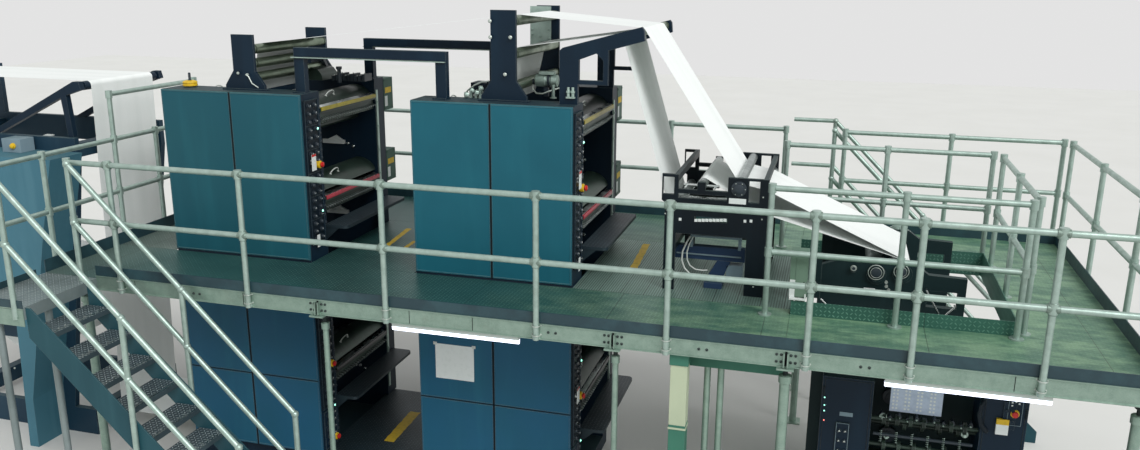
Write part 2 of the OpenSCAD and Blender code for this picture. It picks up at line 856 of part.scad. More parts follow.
module folder_sides() {
    half_gap = folder_gap / 2;
    shield = [240, 12, 400];
    color("#23313a") span([folder_left + 20 - shield[0], folder_left + 20],
                          [folder_front - shield[1], folder_front],
                          [deck_height + 40, deck_height + 40 + shield[2]]);
    color("#23313a") for (side = [0, 1]) mirror([0, side, 0]) {
        translate([0, -half_gap, 0]) rotate([90, 0, 0]) linear_extrude(folder_plate) folder_side();
        translate([0, -half_gap - folder_plate, 0]) {
            for (p = [guide_nip, web_nip]) bearing_cover(p[0], p[1], nip_d + 4);
            bearing_cover(pit_left + 673, deck_height + 319, 50);
        }
    }
}

module folder_cylinders() {
    reach = folder_gap / 2;
    face = reach - 30;
    below_former = former_z - 740;
    cutting_d = 2 * cylinder_d;
    delivery_d = 250;
    color("#8d979b") {
        for (p = [guide_nip, web_nip]) journalled(p[0], p[1], nip_d, face, reach, 60);
        for (side = [-1, 1]) journalled(former_x - 120 + side * 34, below_former, 60, face, reach, 40);
        for (p = [[430, 1400], [820, 1250]])
            journalled(folder_left + p[0], p[1], cutting_d, face, reach, 60);
        journalled(folder_left + 1130, 900, delivery_d, face, reach, 60);
    }
}

module folder_cabinets() {
    depth = [folder_front - cabinet_depth, folder_front];
    color("#23313a") {
        span(cabinet_1, depth, [0, 1830]);
        span(cabinet_2, depth, [0, 1850]);
        translate([cabinet_1[0] + 130, depth[0], 860]) rotate([90, 0, 0]) button_plate(105, 580, 6);
        translate([cabinet_2[0] + 150, depth[0], 1560]) rotate([90, 0, 0]) button_plate(90, 230, 2);
    }
}

module delivery_shaft(y, z, wheels) {
    length = cabinet_2[0] - cabinet_1[1];
    translate([cabinet_1[1], y, z]) rotate([0, 90, 0]) {
        cylinder(h = length, d = 36);
        for (k = [1 : wheels]) translate([0, 0, k * length / (wheels + 1) - 14]) cylinder(h = 28, d = 96);
    }
}

module folder_delivery() {
    x = [cabinet_1[1], cabinet_2[0]];
    guard = folder_front - 300;
    guard_top = 1820;
    table_front = folder_front - cabinet_depth - 60;
    table_top = 1040;
    leg = 50;
    color("#5a666b") {
        span(x, [guard, guard + 20], [guard_top, guard_top + 20]);
        span([x[0] + 140, x[0] + 540], [guard, guard + 4], [guard_top - 280, guard_top]);
        delivery_shaft(folder_front - 340, 1480, 7);
        delivery_shaft(folder_front - 230, 1400, 5);
        delivery_shaft(folder_front - 340, 1250, 6);
        span(x, [table_front, folder_front], [table_top - 30, table_top]);
        for (side = [x[0] + 20, x[1] - 20 - leg])
            span([side, side + leg], [table_front, table_front + leg], [0, table_top - 30]);
    }
}

infeed_x = tower_1 - half - infeed_reach;
infeed_z = deck_height + infeed_height;
stand_right = infeed_x - 50;
stand_left = stand_right - stand_length;
stand_face = inner + 50;
stand_thick = 60;
reel_x = stand_left + 1150;
reel_z = 1330;
table_z = deck_height + 750;
mast_z = deck_height + infeed_height + 60;
mast_x = stand_left + 60;

module stand_frame() {
    side_plate([[stand_left, 0], [stand_right - 180, 0], [stand_right - 180, 300], [stand_right - 450, 300],
                [stand_right, table_z], [stand_right, table_z + 270], [mast_x + 60, table_z + 270],
                [mast_x + 60, mast_z], [stand_left, mast_z]], 0, stand_thick);
}

module stand_windows() {
    low = 300;
    beam_low = reel_z - 280;
    beam_top = reel_z - 80;
    side_plate([[stand_left + 260, low], [stand_right - 750, low], [stand_right - 640, beam_low],
                [stand_left + 260, beam_low]], -1, stand_thick + 2);
    side_plate([[stand_left + 260, beam_top], [stand_right - 610, beam_top],
                [stand_right - 360, table_z], [stand_left + 260, table_z]], -1, stand_thick + 2);
}

module reel_stand() {
    color("#6c7f8c") {
        for (y = [-stand_face - stand_thick, stand_face]) translate([0, y, 0]) {
            difference() {
                stand_frame();
                stand_windows();
            }
            translate([reel_x, stand_thick, reel_z]) rotate([90, 0, 0]) cylinder(h = stand_thick, d = 240);
        }
        for (x = [stand_left + 90, stand_right - 360])
            span([x, x + 120], [-stand_face, stand_face], [80, 260]);
        for (x = [stand_left, stand_right - 160])
            span([x, x + 120], [-stand_face, stand_face], [table_z + 60, table_z + 200]);
        roller(mast_x, mast_z - 60, guide_d, stand_face);
    }
}

module stand_cabinet() {
    depth = 420;
    top = table_z + 130;
    foot = stand_right - 700;
    color("#8a97a0") side_plate([[foot, 0], [foot + 115, 0], [stand_right - 570, 560],
                                 [stand_right - 333, 1570], [stand_right - 163, 2290],
                                 [stand_right + 80, top], [stand_left + 300, top],
                                 [stand_left + 300, 1720], [foot + 69, 1600]],
                                -stand_face - stand_thick - depth, depth);
}

module paper_reels() {
    color("#e6e2d6") journalled(reel_x, reel_z, reel_d, web_width / 2, stand_face, 76);
}

module infeed_arms() {
    root_x = stand_right - 1120;
    root_z = table_z + 270;
    color("#1d2a33") for (y = [-stand_face - 10, stand_face - 50])
        side_plate([[root_x, root_z], [root_x + 130, root_z], [stand_right - 150, infeed_z - 120],
                    [stand_right - 110, root_z], [stand_right - 50, root_z],
                    [stand_right - 80, infeed_z - 90], [infeed_x + 60, infeed_z - 30],
                    [infeed_x + 40, infeed_z + 50], [infeed_x - 30, infeed_z + 50]], y, 60);
    color("#b9c0c2") journalled(infeed_x, infeed_z, guide_d, stand_face - 80, stand_face - 50, 40);
}

// A web runs over rollers given as [x, z, signed radius]: positive keeps the roller on its right
function swing(a) = a > 180 ? a - 360 : a <= -180 ? a + 360 : a;
function heading(a, b) = atan2(b[1] - a[1], b[0] - a[0])
    - asin((a[2] - b[2]) / norm([b[0] - a[0], b[1] - a[1]]));
function off_roller(r, angle) = [r[0] - r[2] * sin(angle), r[1] + r[2] * cos(angle)];
function shifted(rollers, shift) = [for (r = rollers) [r[0], r[1], r[2] + shift]];
function bend(a, b, c, steps) = let (first = heading(a, b), turn = swing(heading(b, c) - first))
    [for (k = [0 : steps]) off_roller(b, first + turn * k / steps)];
function web_line(rollers, steps = 8) = let (last = len(rollers) - 1) concat(
    [off_roller(rollers[0], heading(rollers[0], rollers[1]))],
    [for (i = [1 : last - 1]) each bend(rollers[i - 1], rollers[i], rollers[i + 1], steps)],
    [off_roller(rollers[last], heading(rollers[last - 1], rollers[last]))]);
function reversed(points) = [for (i = [len(points) - 1 : -1 : 0]) points[i]];
function over(d) = d / 2 + fit + web_thick / 2;

module web(rollers) {
    side_plate(concat(web_line(shifted(rollers, web_thick / 2)),
                      reversed(web_line(shifted(rollers, -web_thick / 2)))), -web_width / 2, web_width);
}

bottom_z = 230;
guide_1 = tower_1 + 75 + bracket_neck / 2 - 40;
guide_2 = tower_2 + 75 + bracket_neck / 2 - 40;

module infeed_web() {
    color("#ebe8dd") web([[reel_x, reel_z, over(reel_d)],
        [mast_x, mast_z - 60, over(guide_d)],
        [infeed_x, infeed_z, over(guide_d)], [infeed_x - 20, bottom_z + 50, -over(guide_d)],
        [tower_1 - over(guide_d), bottom_z + 50, -over(guide_d)],
        [tower_1, tower_height - 100, 0]]);
}

function turner_at(p, side) = [turner_left + p[0], deck_height + p[1], side * over(turner_d)];

module lead_web() {
    color("#ebe8dd") web([[tower_1, tower_height - 40, 0],
        [guide_1, tower_height + 380, over(guide_d)], [guide_2, tower_height + 690, over(guide_d)],
        [arm_outer[0], arm_outer[1], over(arm_d)], turner_at(turner_turn, -1), turner_at(turner_top, 1),
        [web_nip[0], web_nip[1], over(nip_d) + ply], [former_x + 4, former_z, 0]]);
}

module folder_web() {
    color("#ebe8dd") {
        web([[tower_2, tower_height - 40, 0], [guide_2, tower_height + 410, over(guide_d)],
             [arm_inner[0], arm_inner[1], over(arm_d)], turner_at(turner_in, -1),
             turner_at(turner_low, 1), turner_at(turner_under, -1),
             [web_nip[0], web_nip[1], over(nip_d)], [former_x + 2, former_z, 0]]);
        hull() {
            span([former_x + 1, former_x + 4], [-web_width / 2, web_width / 2], [former_z - 2, former_z - 1]);
            span([former_x - 108, former_x - 105], [-30, 30], [former_z - 700, former_z - 699]);
        }
    }
}

module light_tubes() {
    y = deck_front + channel_flange / 2;
    color("#f4f7ff") for (x = [tower_2 - 520, pit_left + 920]) translate([x, y, steel_low - 60]) {
        rotate([0, 90, 0]) cylinder(h = light_length, d = 32);
        span([0, light_length], [-20, 20], [14, 60]);
    }
}

tower_beds();
lower_bay_floor();
tower_1_housing();
tower_2_housing();
gear_frames();
tower_doors();
control_panels();
tower_1_cylinders();
tower_2_cylinders();
tower_1_ink_units();
tower_2_ink_units();
foot_boards();
tower_1_brackets();
tower_2_brackets();
tie_beams();
lead_arms();
guide_rollers();
front_deck();
rear_deck();
left_deck();
tower_bay_deck();
folder_bay_deck();
right_deck();
front_landing();
rear_landing();
front_edge();
rear_edge();
left_edge();
right_edge();
pit_edge();
cross_beams();
front_columns();
rear_columns();
front_rail();
left_rail();
rear_rail();
right_rail();
pit_front_rail();
pit_end_rail();
pit_rear_rail();
front_stair_stringers();
front_stair_treads();
front_stair_rails();
rear_stair_flight();
rear_stair_rails();
turner_frame();
turner_rollers();
former_board();
folder_sides();
folder_cylinders();
folder_cabinets();
folder_delivery();
reel_stand();
stand_cabinet();
paper_reels();
infeed_arms();
infeed_web();
lead_web();
folder_web();
light_tubes();
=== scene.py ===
import math
import random

import bmesh
import bpy
from mathutils import Matrix, Vector


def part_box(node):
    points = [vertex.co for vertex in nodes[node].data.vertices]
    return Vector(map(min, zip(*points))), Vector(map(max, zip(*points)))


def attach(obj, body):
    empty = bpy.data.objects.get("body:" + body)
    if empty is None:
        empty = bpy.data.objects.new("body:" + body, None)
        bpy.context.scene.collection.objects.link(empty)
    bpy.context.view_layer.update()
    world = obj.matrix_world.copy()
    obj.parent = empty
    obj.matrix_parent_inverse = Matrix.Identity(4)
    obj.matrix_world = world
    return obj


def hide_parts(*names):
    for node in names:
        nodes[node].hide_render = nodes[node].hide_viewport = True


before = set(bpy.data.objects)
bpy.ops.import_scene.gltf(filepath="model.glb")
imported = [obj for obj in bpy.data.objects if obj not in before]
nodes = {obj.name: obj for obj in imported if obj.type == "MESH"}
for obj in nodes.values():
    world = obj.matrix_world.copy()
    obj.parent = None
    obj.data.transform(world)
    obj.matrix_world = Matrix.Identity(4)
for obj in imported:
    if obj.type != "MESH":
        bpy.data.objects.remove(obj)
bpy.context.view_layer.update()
chance = random.Random(7)
print("frame loaded:", len(nodes), "nodes")


def colour(code):
    channels = [int(code[i:i + 2], 16) / 255 for i in (1, 3, 5)]
    return tuple(c / 12.92 if c < 0.04045 else ((c + 0.055) / 1.055) ** 2.4 for c in channels) + (1,)


class Signal:  # a socket that can be used in sums
    def __init__(self, maker, socket):
        self.maker = maker
        self.socket = socket

    def math(self, operation, other=None, flip=False):
        pair = [other, self] if flip else [self, other]
        return self.maker.node("Math", {"operation": operation}, dict(enumerate(pair)))

    def __add__(self, other):
        return self.math("ADD", other)

    def __sub__(self, other):
        return self.math("SUBTRACT", other)

    def __rsub__(self, other):
        return self.math("SUBTRACT", other, flip=True)

    def __mul__(self, other):
        return self.math("MULTIPLY", other)

    def __truediv__(self, other):
        return self.math("DIVIDE", other)

    __radd__ = __add__
    __rmul__ = __mul__

    def above(self, level):
        return self.math("GREATER_THAN", level)

    def clipped(self):
        return self.math("MAXIMUM", 0.0).math("MINIMUM", 1.0)

    def ramp(self, low, high):  # 0 below low, 1 above high
        return ((self - low) / (high - low)).clipped()

    def size(self):
        return self.math("ABSOLUTE")

    def stripes(self, pitch, width):  # 1 in a line of that width, once in each pitch
        return 1 - ((self / pitch).math("FRACT")).above(width / pitch)


class Maker:  # makes and fills the nodes of a material or of the world
    def __init__(self, tree):
        self.tree = tree

    def node(self, kind, settings=None, inputs=None, output=0):
        made = self.tree.nodes.new("ShaderNode" + kind)
        for setting, value in (settings or {}).items():
            setattr(made, setting, value)
        self.fill(made, inputs or {})
        return Signal(self, made.outputs[output])

    def fill(self, made, inputs):
        for name, value in inputs.items():
            if isinstance(value, Signal):
                self.tree.links.new(value.socket, made.inputs[name])
            elif value is not None:
                made.inputs[name].default_value = value


class Finish(Maker):  # one material of the press
    def __init__(self, name, **fixed):
        self.material = bpy.data.materials.new(name)
        self.material.use_nodes = True
        super().__init__(self.material.node_tree)
        self.shader = self.tree.nodes["Principled BSDF"]
        self.give(**fixed)
        self.place = self.node("TexCoord", output="Object")
        self.facing = self.node("NewGeometry", output="True Normal")

    def give(self, **sockets):  # Base_Color=... and so on
        self.fill(self.shader, {name.replace("_", " "): value for name, value in sockets.items()})

    def mix(self, factor, first, second):
        return self.node("Mix", {"data_type": "RGBA"}, {0: factor, 6: first, 7: second}, 2)

    def axis(self, vector, name):
        return self.node("SeparateXYZ", inputs={0: vector}, output="XYZ".index(name))

    def stretched(self, scale):
        return self.node("Mapping", inputs={"Vector": self.place, "Scale": scale})

    def grain(self, scale, detail=3, rough=0.55, stretch=None):
        where = self.stretched(stretch) if stretch else self.place
        return self.node("TexNoise", inputs={"Vector": where, "Scale": scale, "Detail": detail,
                                             "Roughness": rough})

    def island(self):
        return self.node("NewGeometry", output="Random Per Island")

    def edges(self, radius):  # 1 on sharp outside edges, 0 on flats
        rounded = self.node("Bevel", {"samples": 4}, {"Radius": radius})
        match = self.node("VectorMath", {"operation": "DOT_PRODUCT"},
                          {0: rounded, 1: self.facing}, "Value")
        return (1 - match).ramp(0.01, 0.12)

    def bump(self, height, strength, distance):
        self.give(Normal=self.node("Bump", inputs={"Height": height, "Strength": strength,
                                                   "Distance": distance}))


def paintFinish(name, body, high, low, wear=0.5, gloss=0.42, panel=1.6, across=None, under=None,
                paleTops=("#4c6360", 0.35)):
    # sprayed steel: cloudy tone, faint runs, bright worn edges; top faces painted paler, partly dust and
    # partly painted top light
    paint = Finish(name, IOR=1.5, Specular_IOR_Level=0.22)
    cloud = paint.grain(panel, detail=4)
    runs = paint.grain(5.0, detail=4, stretch=(1, 1, 0.1))
    speck = paint.grain(190.0, detail=2)
    base = colour(body)
    if across:  # the paint drifts to another tone along the press
        drift = paint.axis(paint.place, "X").ramp(across[0], across[1])
        base = paint.mix(drift, colour(across[2]), colour(body))
    if under:  # below the deck the doors are a cleaner, bluer tone
        base = paint.mix(paint.axis(paint.place, "Z").above(under[0]), colour(under[1]), base)
    tone = paint.mix(cloud.ramp(0.3, 0.75) * 0.5, base, colour(low))
    tone = paint.mix(runs.ramp(0.52, 0.8) * 0.25, tone, colour(high))
    # top faces painted paler: partly dust, partly painted light falling on the tops
    dustAndTopLight = paint.axis(paint.facing, "Z").ramp(0.75, 1.0) * cloud.ramp(0.2, 0.6) * paleTops[1]
    tone = paint.mix(dustAndTopLight, tone, colour(paleTops[0]))
    chipped = paint.edges(0.005) * speck.ramp(0.35, 0.6) * wear
    tone = paint.mix(chipped, tone, colour("#87938f"))
    paint.give(Base_Color=tone, Roughness=(gloss + cloud * 0.12 + dustAndTopLight * 0.4).clipped(),
               Metallic=chipped * 0.6)
    paint.bump(speck + runs * 0.4, 0.18, 0.0005)
    return paint.material


def steelFinish(name, bright, dull, gloss=0.3, along="Y", rings=220.0):
    # turned or ground steel: fine marks round the roller, oily patches, each one its own tone
    steel = Finish(name)
    stretch = {"X": (1, 0.02, 0.02), "Y": (0.02, 1, 0.02), "Z": (0.02, 0.02, 1)}[along]
    marks = steel.grain(rings, detail=3, stretch=stretch)
    oil = steel.grain(7.0, detail=5)
    own = steel.island()
    tone = steel.mix((own * 0.5 + oil.ramp(0.35, 0.7) * 0.5).clipped(), colour(bright), colour(dull))
    steel.give(Base_Color=tone, Metallic=1 - oil.ramp(0.55, 0.8) * 0.35,
               Roughness=(gloss + marks * 0.12 + oil.ramp(0.4, 0.8) * 0.2).clipped())
    steel.bump(marks, 0.3, 0.0004)
    return steel.material


def zincFinish(name, bright, dull, toe=None):
    # hot-dip zinc: fine spangle, grey bloom, dirt in patches; a toe board above the deck is painted
    zinc = Finish(name)
    spangle = zinc.node("TexVoronoi", {"feature": "F1"}, {"Vector": zinc.place, "Scale": 150.0},
                        "Color")
    flake = zinc.axis(spangle, "X")
    bloom = zinc.grain(14.0, detail=4)
    dirt = zinc.grain(3.0, detail=6, rough=0.65)
    tone = zinc.mix(bloom.ramp(0.3, 0.7) * 0.6, colour(bright), colour(dull))
    tone = zinc.mix(flake * 0.1, tone, colour("#d4dcd6"))
    tone = zinc.mix(dirt.ramp(0.6, 0.76) * 0.4, tone, colour("#6a6f62"))
    bare = 1
    if toe:
        painted = zinc.axis(zinc.place, "Z").above(toe["height"])
        tone = zinc.mix(painted, tone, zinc.mix(dirt.ramp(0.45, 0.7), colour(toe["paint"]),
                                                colour(toe["scuffed"])))
        bare = 1 - painted
    zinc.give(Base_Color=tone, Metallic=(0.5 + flake * 0.2) * bare,
              Roughness=(0.36 + bloom * 0.18 - flake * 0.06).clipped())
    zinc.bump(bloom + flake * 0.15, 0.2, 0.0004)
    return zinc.material


chequer = {"pitch": 0.034, "length": 0.44, "width": 0.15, "height": 0.0016, "seam": 1.22}


def lugPattern(plate):
    # raised bars in a basket weave: neighbours lie across each other at 45 degrees
    flat = plate.axis(plate.facing, "Z").size().above(0.5)
    level = plate.axis(plate.place, "Y") * flat + plate.axis(plate.place, "Z") * (1 - flat)
    along = plate.axis(plate.place, "X") / chequer["pitch"]
    across = level / chequer["pitch"]
    parity = ((along.math("FLOOR") + across.math("FLOOR")) * 0.5).math("FRACT").above(0.25)
    u = along.math("FRACT") - 0.5
    v = across.math("FRACT") - 0.5
    flip = 1 - parity * 2
    long = (u + v * flip) / (math.sqrt(2) * chequer["length"])
    short = (v - u * flip) / (math.sqrt(2) * chequer["width"])
    return 1 - (long * long + short * short).ramp(0.45, 1.0)


def plateFinish(name, face, grime, lug, metal, gloss, wear, paleReach=None, paleTops=None, upright=False):
    # chequer plate: lugs rubbed bright on the walked middle, dark oily film between them
    plate = Finish(name)
    lugs = lugPattern(plate)
    if not upright:  # posts and side plates under the walkway have no lugs
        lugs = lugs * plate.axis(plate.facing, "Z").above(0.5)
    film = plate.grain(1.1, detail=6, rough=0.6)
    scuff = plate.grain(5.5, detail=6, rough=0.7, stretch=(0.6, 1.6, 1))
    speck = plate.grain(90.0, detail=2)
    shine = 1.0
    tone = plate.mix(film.ramp(0.35, 0.68), colour(face), colour(grime))
    tone = plate.mix(lugs * (0.25 + scuff.ramp(0.35, 0.7) * 0.75) * wear, tone, colour(lug))
    if paleReach:  # paler mottled patches and less metal shine past a point along the walkway
        drift = (plate.axis(plate.place, "X") + film * 1.4).ramp(paleReach["from"], paleReach["to"])
        paleMottle = plate.mix(scuff.ramp(0.4, 0.62), colour(paleReach["body"]), colour(paleReach["paleMottle"]))
        tone = plate.mix(drift * 0.85, tone, paleMottle)
        shine = 1 - drift * 0.7
    if paleTops:  # the untrodden end of the walkway is pale and dry
        drift = (plate.axis(plate.place, "X") + film * 0.5).ramp(paleTops["from"], paleTops["to"])
        tone = plate.mix(drift * 0.8, tone, colour(paleTops["body"]))
        shine = shine * (1 - drift * 0.5)
    tone = plate.mix(speck.ramp(0.6, 0.8) * 0.25, tone, colour(grime))
    seam = plate.axis(plate.place, "X").stripes(chequer["seam"], 0.006)
    tone = plate.mix(seam * 0.6, tone, colour("#161c1c"))
    plate.give(Base_Color=tone, Metallic=(metal + lugs * 0.2) * shine,
               Roughness=(gloss + film * 0.22 - lugs * 0.12 * wear).clipped())
    plate.bump(lugs + speck * 0.12 - seam, 0.9, chequer["height"])
    return plate.material


def ribbedFinish(name, ridge, grooveShade, grime):
    # extruded planks: narrow ribs across the line, a joint every few ribs, grooves painted darker as shade,
    # grime in patches
    plank = Finish(name)
    travel = plank.axis(plank.place, "X")
    groove = travel.stripes(0.022, 0.008)
    joint = travel.stripes(0.198, 0.005)
    wash = plank.grain(2.4, detail=6, rough=0.65, stretch=(1, 0.35, 1))
    # the grooves take the darker colour: painted shade in the recesses
    tone = plank.mix(groove, colour(ridge), colour(grooveShade))
    tone = plank.mix(wash.ramp(0.42, 0.68) * 0.7, tone, colour(grime))
    tone = plank.mix(joint, tone, colour("#1b2422"))
    plank.give(Base_Color=tone, Metallic=0.45 - groove * 0.2, Roughness=(0.38 + wash * 0.25).clipped())
    plank.bump(1 - groove - joint, 0.8, 0.002)
    return plank.material


def paperFinish(name, sheet, shade):
    # newsprint: fibre speckle and soft tension ripples along the web
    paper = Finish(name, Roughness=0.85)
    fibre = paper.grain(420.0, detail=3)
    ripple = paper.grain(3.0, detail=2, stretch=(0.15, 1.6, 0.15))
    tone = paper.mix(fibre.ramp(0.4, 0.7) * 0.4 + ripple.ramp(0.45, 0.65) * 0.25,
                     colour(sheet), colour(shade))
    paper.give(Base_Color=tone)
    paper.bump(fibre * 0.15 + ripple, 0.35, 0.004)
    return paper.material


def inkMetalFinish(name, dark, light, worn="#8d9896"):
    # castings and hoods of the inking train: painted, oily, each part a slightly different grey
    metal = Finish(name)
    own = metal.island()
    oil = metal.grain(5.0, detail=5, rough=0.6)
    fine = metal.grain(120.0, detail=2)
    tone = metal.mix(own.ramp(0.2, 0.8), colour(dark), colour(light))
    tone = metal.mix(oil.ramp(0.5, 0.7) * 0.6, tone, colour("#12181a"))
    rubbed = metal.edges(0.004) * 0.6
    tone = metal.mix(rubbed, tone, colour(worn))
    metal.give(Base_Color=tone, Metallic=0.35 + rubbed * 0.4,
               Roughness=(0.34 + fine * 0.14 - oil.ramp(0.5, 0.7) * 0.1).clipped())
    metal.bump(fine + oil * 0.5, 0.2, 0.0006)
    return metal.material


def plasticFinish(name, body, scuffed, gloss=0.35):
    # moulded knobs, buttons, tape and labels: even colour, greasy marks
    plastic = Finish(name, IOR=1.46)
    smear = plastic.grain(24.0, detail=5)
    fine = plastic.grain(260.0, detail=2)
    plastic.give(Base_Color=plastic.mix(smear.ramp(0.5, 0.8) * 0.6, colour(body), colour(scuffed)),
                 Roughness=(gloss + smear * 0.2).clipped())
    plastic.bump(fine, 0.12, 0.0003)
    return plastic.material


def lampFinish(name, glow="#e8f4ff", strength=2.2, top=None):
    # a lit lens, or a tube that glows below a height, under its unlit batten
    lamp = Finish(name, Roughness=0.3, Emission_Strength=strength)
    lit = colour(glow)
    if top:
        batten = lamp.axis(lamp.place, "Z").above(top)
        lit = lamp.mix(batten, colour(glow), colour("#000000"))
    lamp.give(Base_Color=colour("#c3cec9"), Emission_Color=lit)
    return lamp.material


toeBoard = {"height": 2.3, "paint": "#1f3941", "scuffed": "#2d4c53"}
finishes = {  # one for each slot of the press
    # the last pair of a paint gives its paler top faces and their share: dust and painted top light, mostly
    # painted top light on the towers' caps
    "cabinet_blue": paintFinish("cabinetPaint", "#1d6272", "#2f7a87", "#175060", 0.6, 0.4, 1.6,
                                (-2.4, -0.9, "#1f5560"), (2.2, "#1b5573"), ("#6b9189", 0.9)),
    "frame_navy": paintFinish("framePaint", "#0b2233", "#1d3d50", "#071722", 0.6, 0.42, 1.6),
    "panel_black": paintFinish("panelBlack", "#0d1a24", "#1b2c38", "#081016", 0.3, 0.45, 4.0),
    "roller_steel": steelFinish("rollerSteel", "#b4bcba", "#6f7a7a"),
    "ink_metal": inkMetalFinish("inkMetal", "#182620", "#36493f"),
    "galvanised": zincFinish("galvanised", "#aabfb6", "#7f958c"),
    "deck_plate": plateFinish("deckPlate", "#2b5a57", "#1b4443", "#84a79c", 0.3, 0.34, 0.8,
                              {"from": 0.6, "to": 3.4, "body": "#4c7862", "paleMottle": "#84a986"},
                              {"from": -3.0, "to": -3.8, "body": "#71827a"}),
    "edge_steel": zincFinish("edgeSteel", "#93a79a", "#778b80", toeBoard),
    "stair_teal": paintFinish("stairTeal", "#264e57", "#447078", "#1a3c46", 0.7, 0.42, 1.6, None, None,
                              ("#7d8c86", 0.8)),
    "tread_aluminium": plateFinish("treadAluminium", "#55656b", "#37464c", "#e6f0f2", 0.35, 0.34, 1.4),
    "turner_black": paintFinish("turnerBlack", "#08141c", "#1b2d38", "#050c11", 0.6, 0.36),
    "stand_blue": paintFinish("standBlue", "#3f6e7e", "#5f8c9a", "#2f5767", 0.5, 0.42, 1.2),
    "paper": paperFinish("newsprint", "#eef2f0", "#d5dcd9"),
    "lamp": lampFinish("tubeLight", "#dfe6ff", 2.6, 2.163),
}
special = {  # nodes whose finish is their own, not their slot's
    "folder_bay_deck": ribbedFinish("ribbedPlank", "#86a096", "#46605a", "#5b766b"),
    "lower_bay_floor": plateFinish("lowerPlate", "#23353c", "#142329", "#53676a", 0.3, 0.4, 0.7),
    "front_landing": plateFinish("landingPlate", "#8a9696", "#5f6c6c", "#dde5e3", 0.3, 0.36, 0.9),
    "left_deck": plateFinish("palePlate", "#6f8079", "#4a5c57", "#a9b8ae", 0.3, 0.4, 0.7),
    "pit_edge": plateFinish("pitPlate", "#3a6d5e", "#2a5448", "#7cae9b", 0.15, 0.45, 0.8, upright=True),
    "foot_boards": plateFinish("footBoardPlate", "#2a3a42", "#1a272e", "#6c7b82", 0.25, 0.38, 0.7),
    "guide_rollers": steelFinish("guideRollerSteel", "#93a08e", "#5c6a58", 0.3),
    "reel_stand": paintFinish("standDark", "#1f3a4b", "#3d5b6b", "#142938", 0.6, 0.4, 1.2),
    "stand_cabinet": paintFinish("standPanel", "#457585", "#6a95a2", "#345f70", 0.5, 0.42, 1.0),
    "folder_sides": paintFinish("folderPaint", "#152a2c", "#2c4648", "#0e1e20", 0.6, 0.4, 2.0),
}
extra = {  # finishes of scene pieces that no slot of the press has
    "ink yellow": plasticFinish("inkYellow", "#9a8d0c", "#5a5810", 0.25),
    "ink red": plasticFinish("inkRed", "#a32135", "#4d1420", 0.25),
    "ink blue": plasticFinish("inkBlue", "#1c3f8a", "#131f3c", 0.25),
    "ink black": plasticFinish("inkBlack", "#121416", "#23272a", 0.2),
    "tape": plasticFinish("floorTape", "#d8b62c", "#8f7d2c", 0.5),
    "label": plasticFinish("bareLabel", "#dfe5e3", "#ccd4d1", 0.5),
    "stop red": plasticFinish("stopRed", "#c02420", "#6d1613", 0.28),
    "stop yellow": plasticFinish("stopYellow", "#d9b321", "#8a7320", 0.4),
    "knob": plasticFinish("knobPlastic", "#2b353d", "#161c20", 0.3),
    "pale plastic": plasticFinish("palePlastic", "#c9cfca", "#8d958f", 0.4),
    "gear green": paintFinish("gearGreen", "#2f5547", "#4a7360", "#234136", 0.5, 0.42, 3.0),
    "lens": lampFinish("lampLens", "#8ff5d8", 2.0),
    "lens red": lampFinish("lampLensRed", "#ff3a24", 1.6),
    "servo blue": paintFinish("servoBlue", "#2a3f5c", "#4c6887", "#1f3148", 0.4, 0.4, 3.0),
    # a near-black fill for gaps, slots and holes; on the tower doors it paints the shade in the gaps between
    # the leaves
    "cavity": plasticFinish("darkGapFill", "#04080b", "#0a0f13", 0.85),
    "jack steel": paintFinish("jackSteel", "#25302f", "#4a3c30", "#171e1f", 0.5, 0.5, 6.0),
    "post pale": paintFinish("postPale", "#b4bfa4", "#c6cfb6", "#9aa78f", 0.4, 0.45, 3.0),
    "post green": paintFinish("postGreen", "#3f7563", "#5d9180", "#2f5c4e", 0.5, 0.45, 3.0),
    "pit box": paintFinish("pitBoxPaint", "#6f8a78", "#8ba391", "#5b7465", 0.4, 0.45, 3.0),
    "brass": steelFinish("rollerBrass", "#b99a52", "#7d6a3c", 0.3),
    "bolt zinc": zincFinish("boltZinc", "#c6cfc8", "#8f9a92"),
    "polished": steelFinish("polishedBar", "#d7dcda", "#9aa3a1", 0.18, "X"),
    "guard sheet": plasticFinish("guardSheet", "#bac9dd", "#93a6bd", 0.2),
    "clamp zinc": zincFinish("clampZinc", "#83968c", "#5d6f66"),
    "edge face": zincFinish("edgeFace", "#90a89b", "#6f897c"),
    "box grey": paintFinish("boxGrey", "#7d929c", "#95a8b0", "#687c86", 0.4, 0.42, 3.0),
}

looks = {**finishes, **extra}

for name, node in nodes.items():
    for slot in node.material_slots:
        key = slot.material.name.split(".")[0]
        if key not in finishes:
            raise ValueError(f"{name} has the slot {key}")
        slot.material = special.get(name, finishes[key])
print("finishes on the frame")

toRight, upward, toFront = (1, 0, 0), (0, 0, 1), (0, -1, 0)


def around(count):  # the angles of a ring of points
    return [2 * math.pi * i / count for i in range(count)]


def halfTurn(steps):  # the angles of a half turn, both ends counted
    return [math.pi * i / steps for i in range(steps + 1)]


def linked(name, data):  # a new object in the scene
    made = bpy.data.objects.new(name, data)
    bpy.context.scene.collection.objects.link(made)
    return made


def smoothMesh(name, form, finish):  # the mesh of a form, with one finish
    mesh = bpy.data.meshes.new(name)
    form.to_mesh(mesh)
    form.free()
    mesh.materials.append(finish)
    for face in mesh.polygons:
        face.use_smooth = True
    return mesh


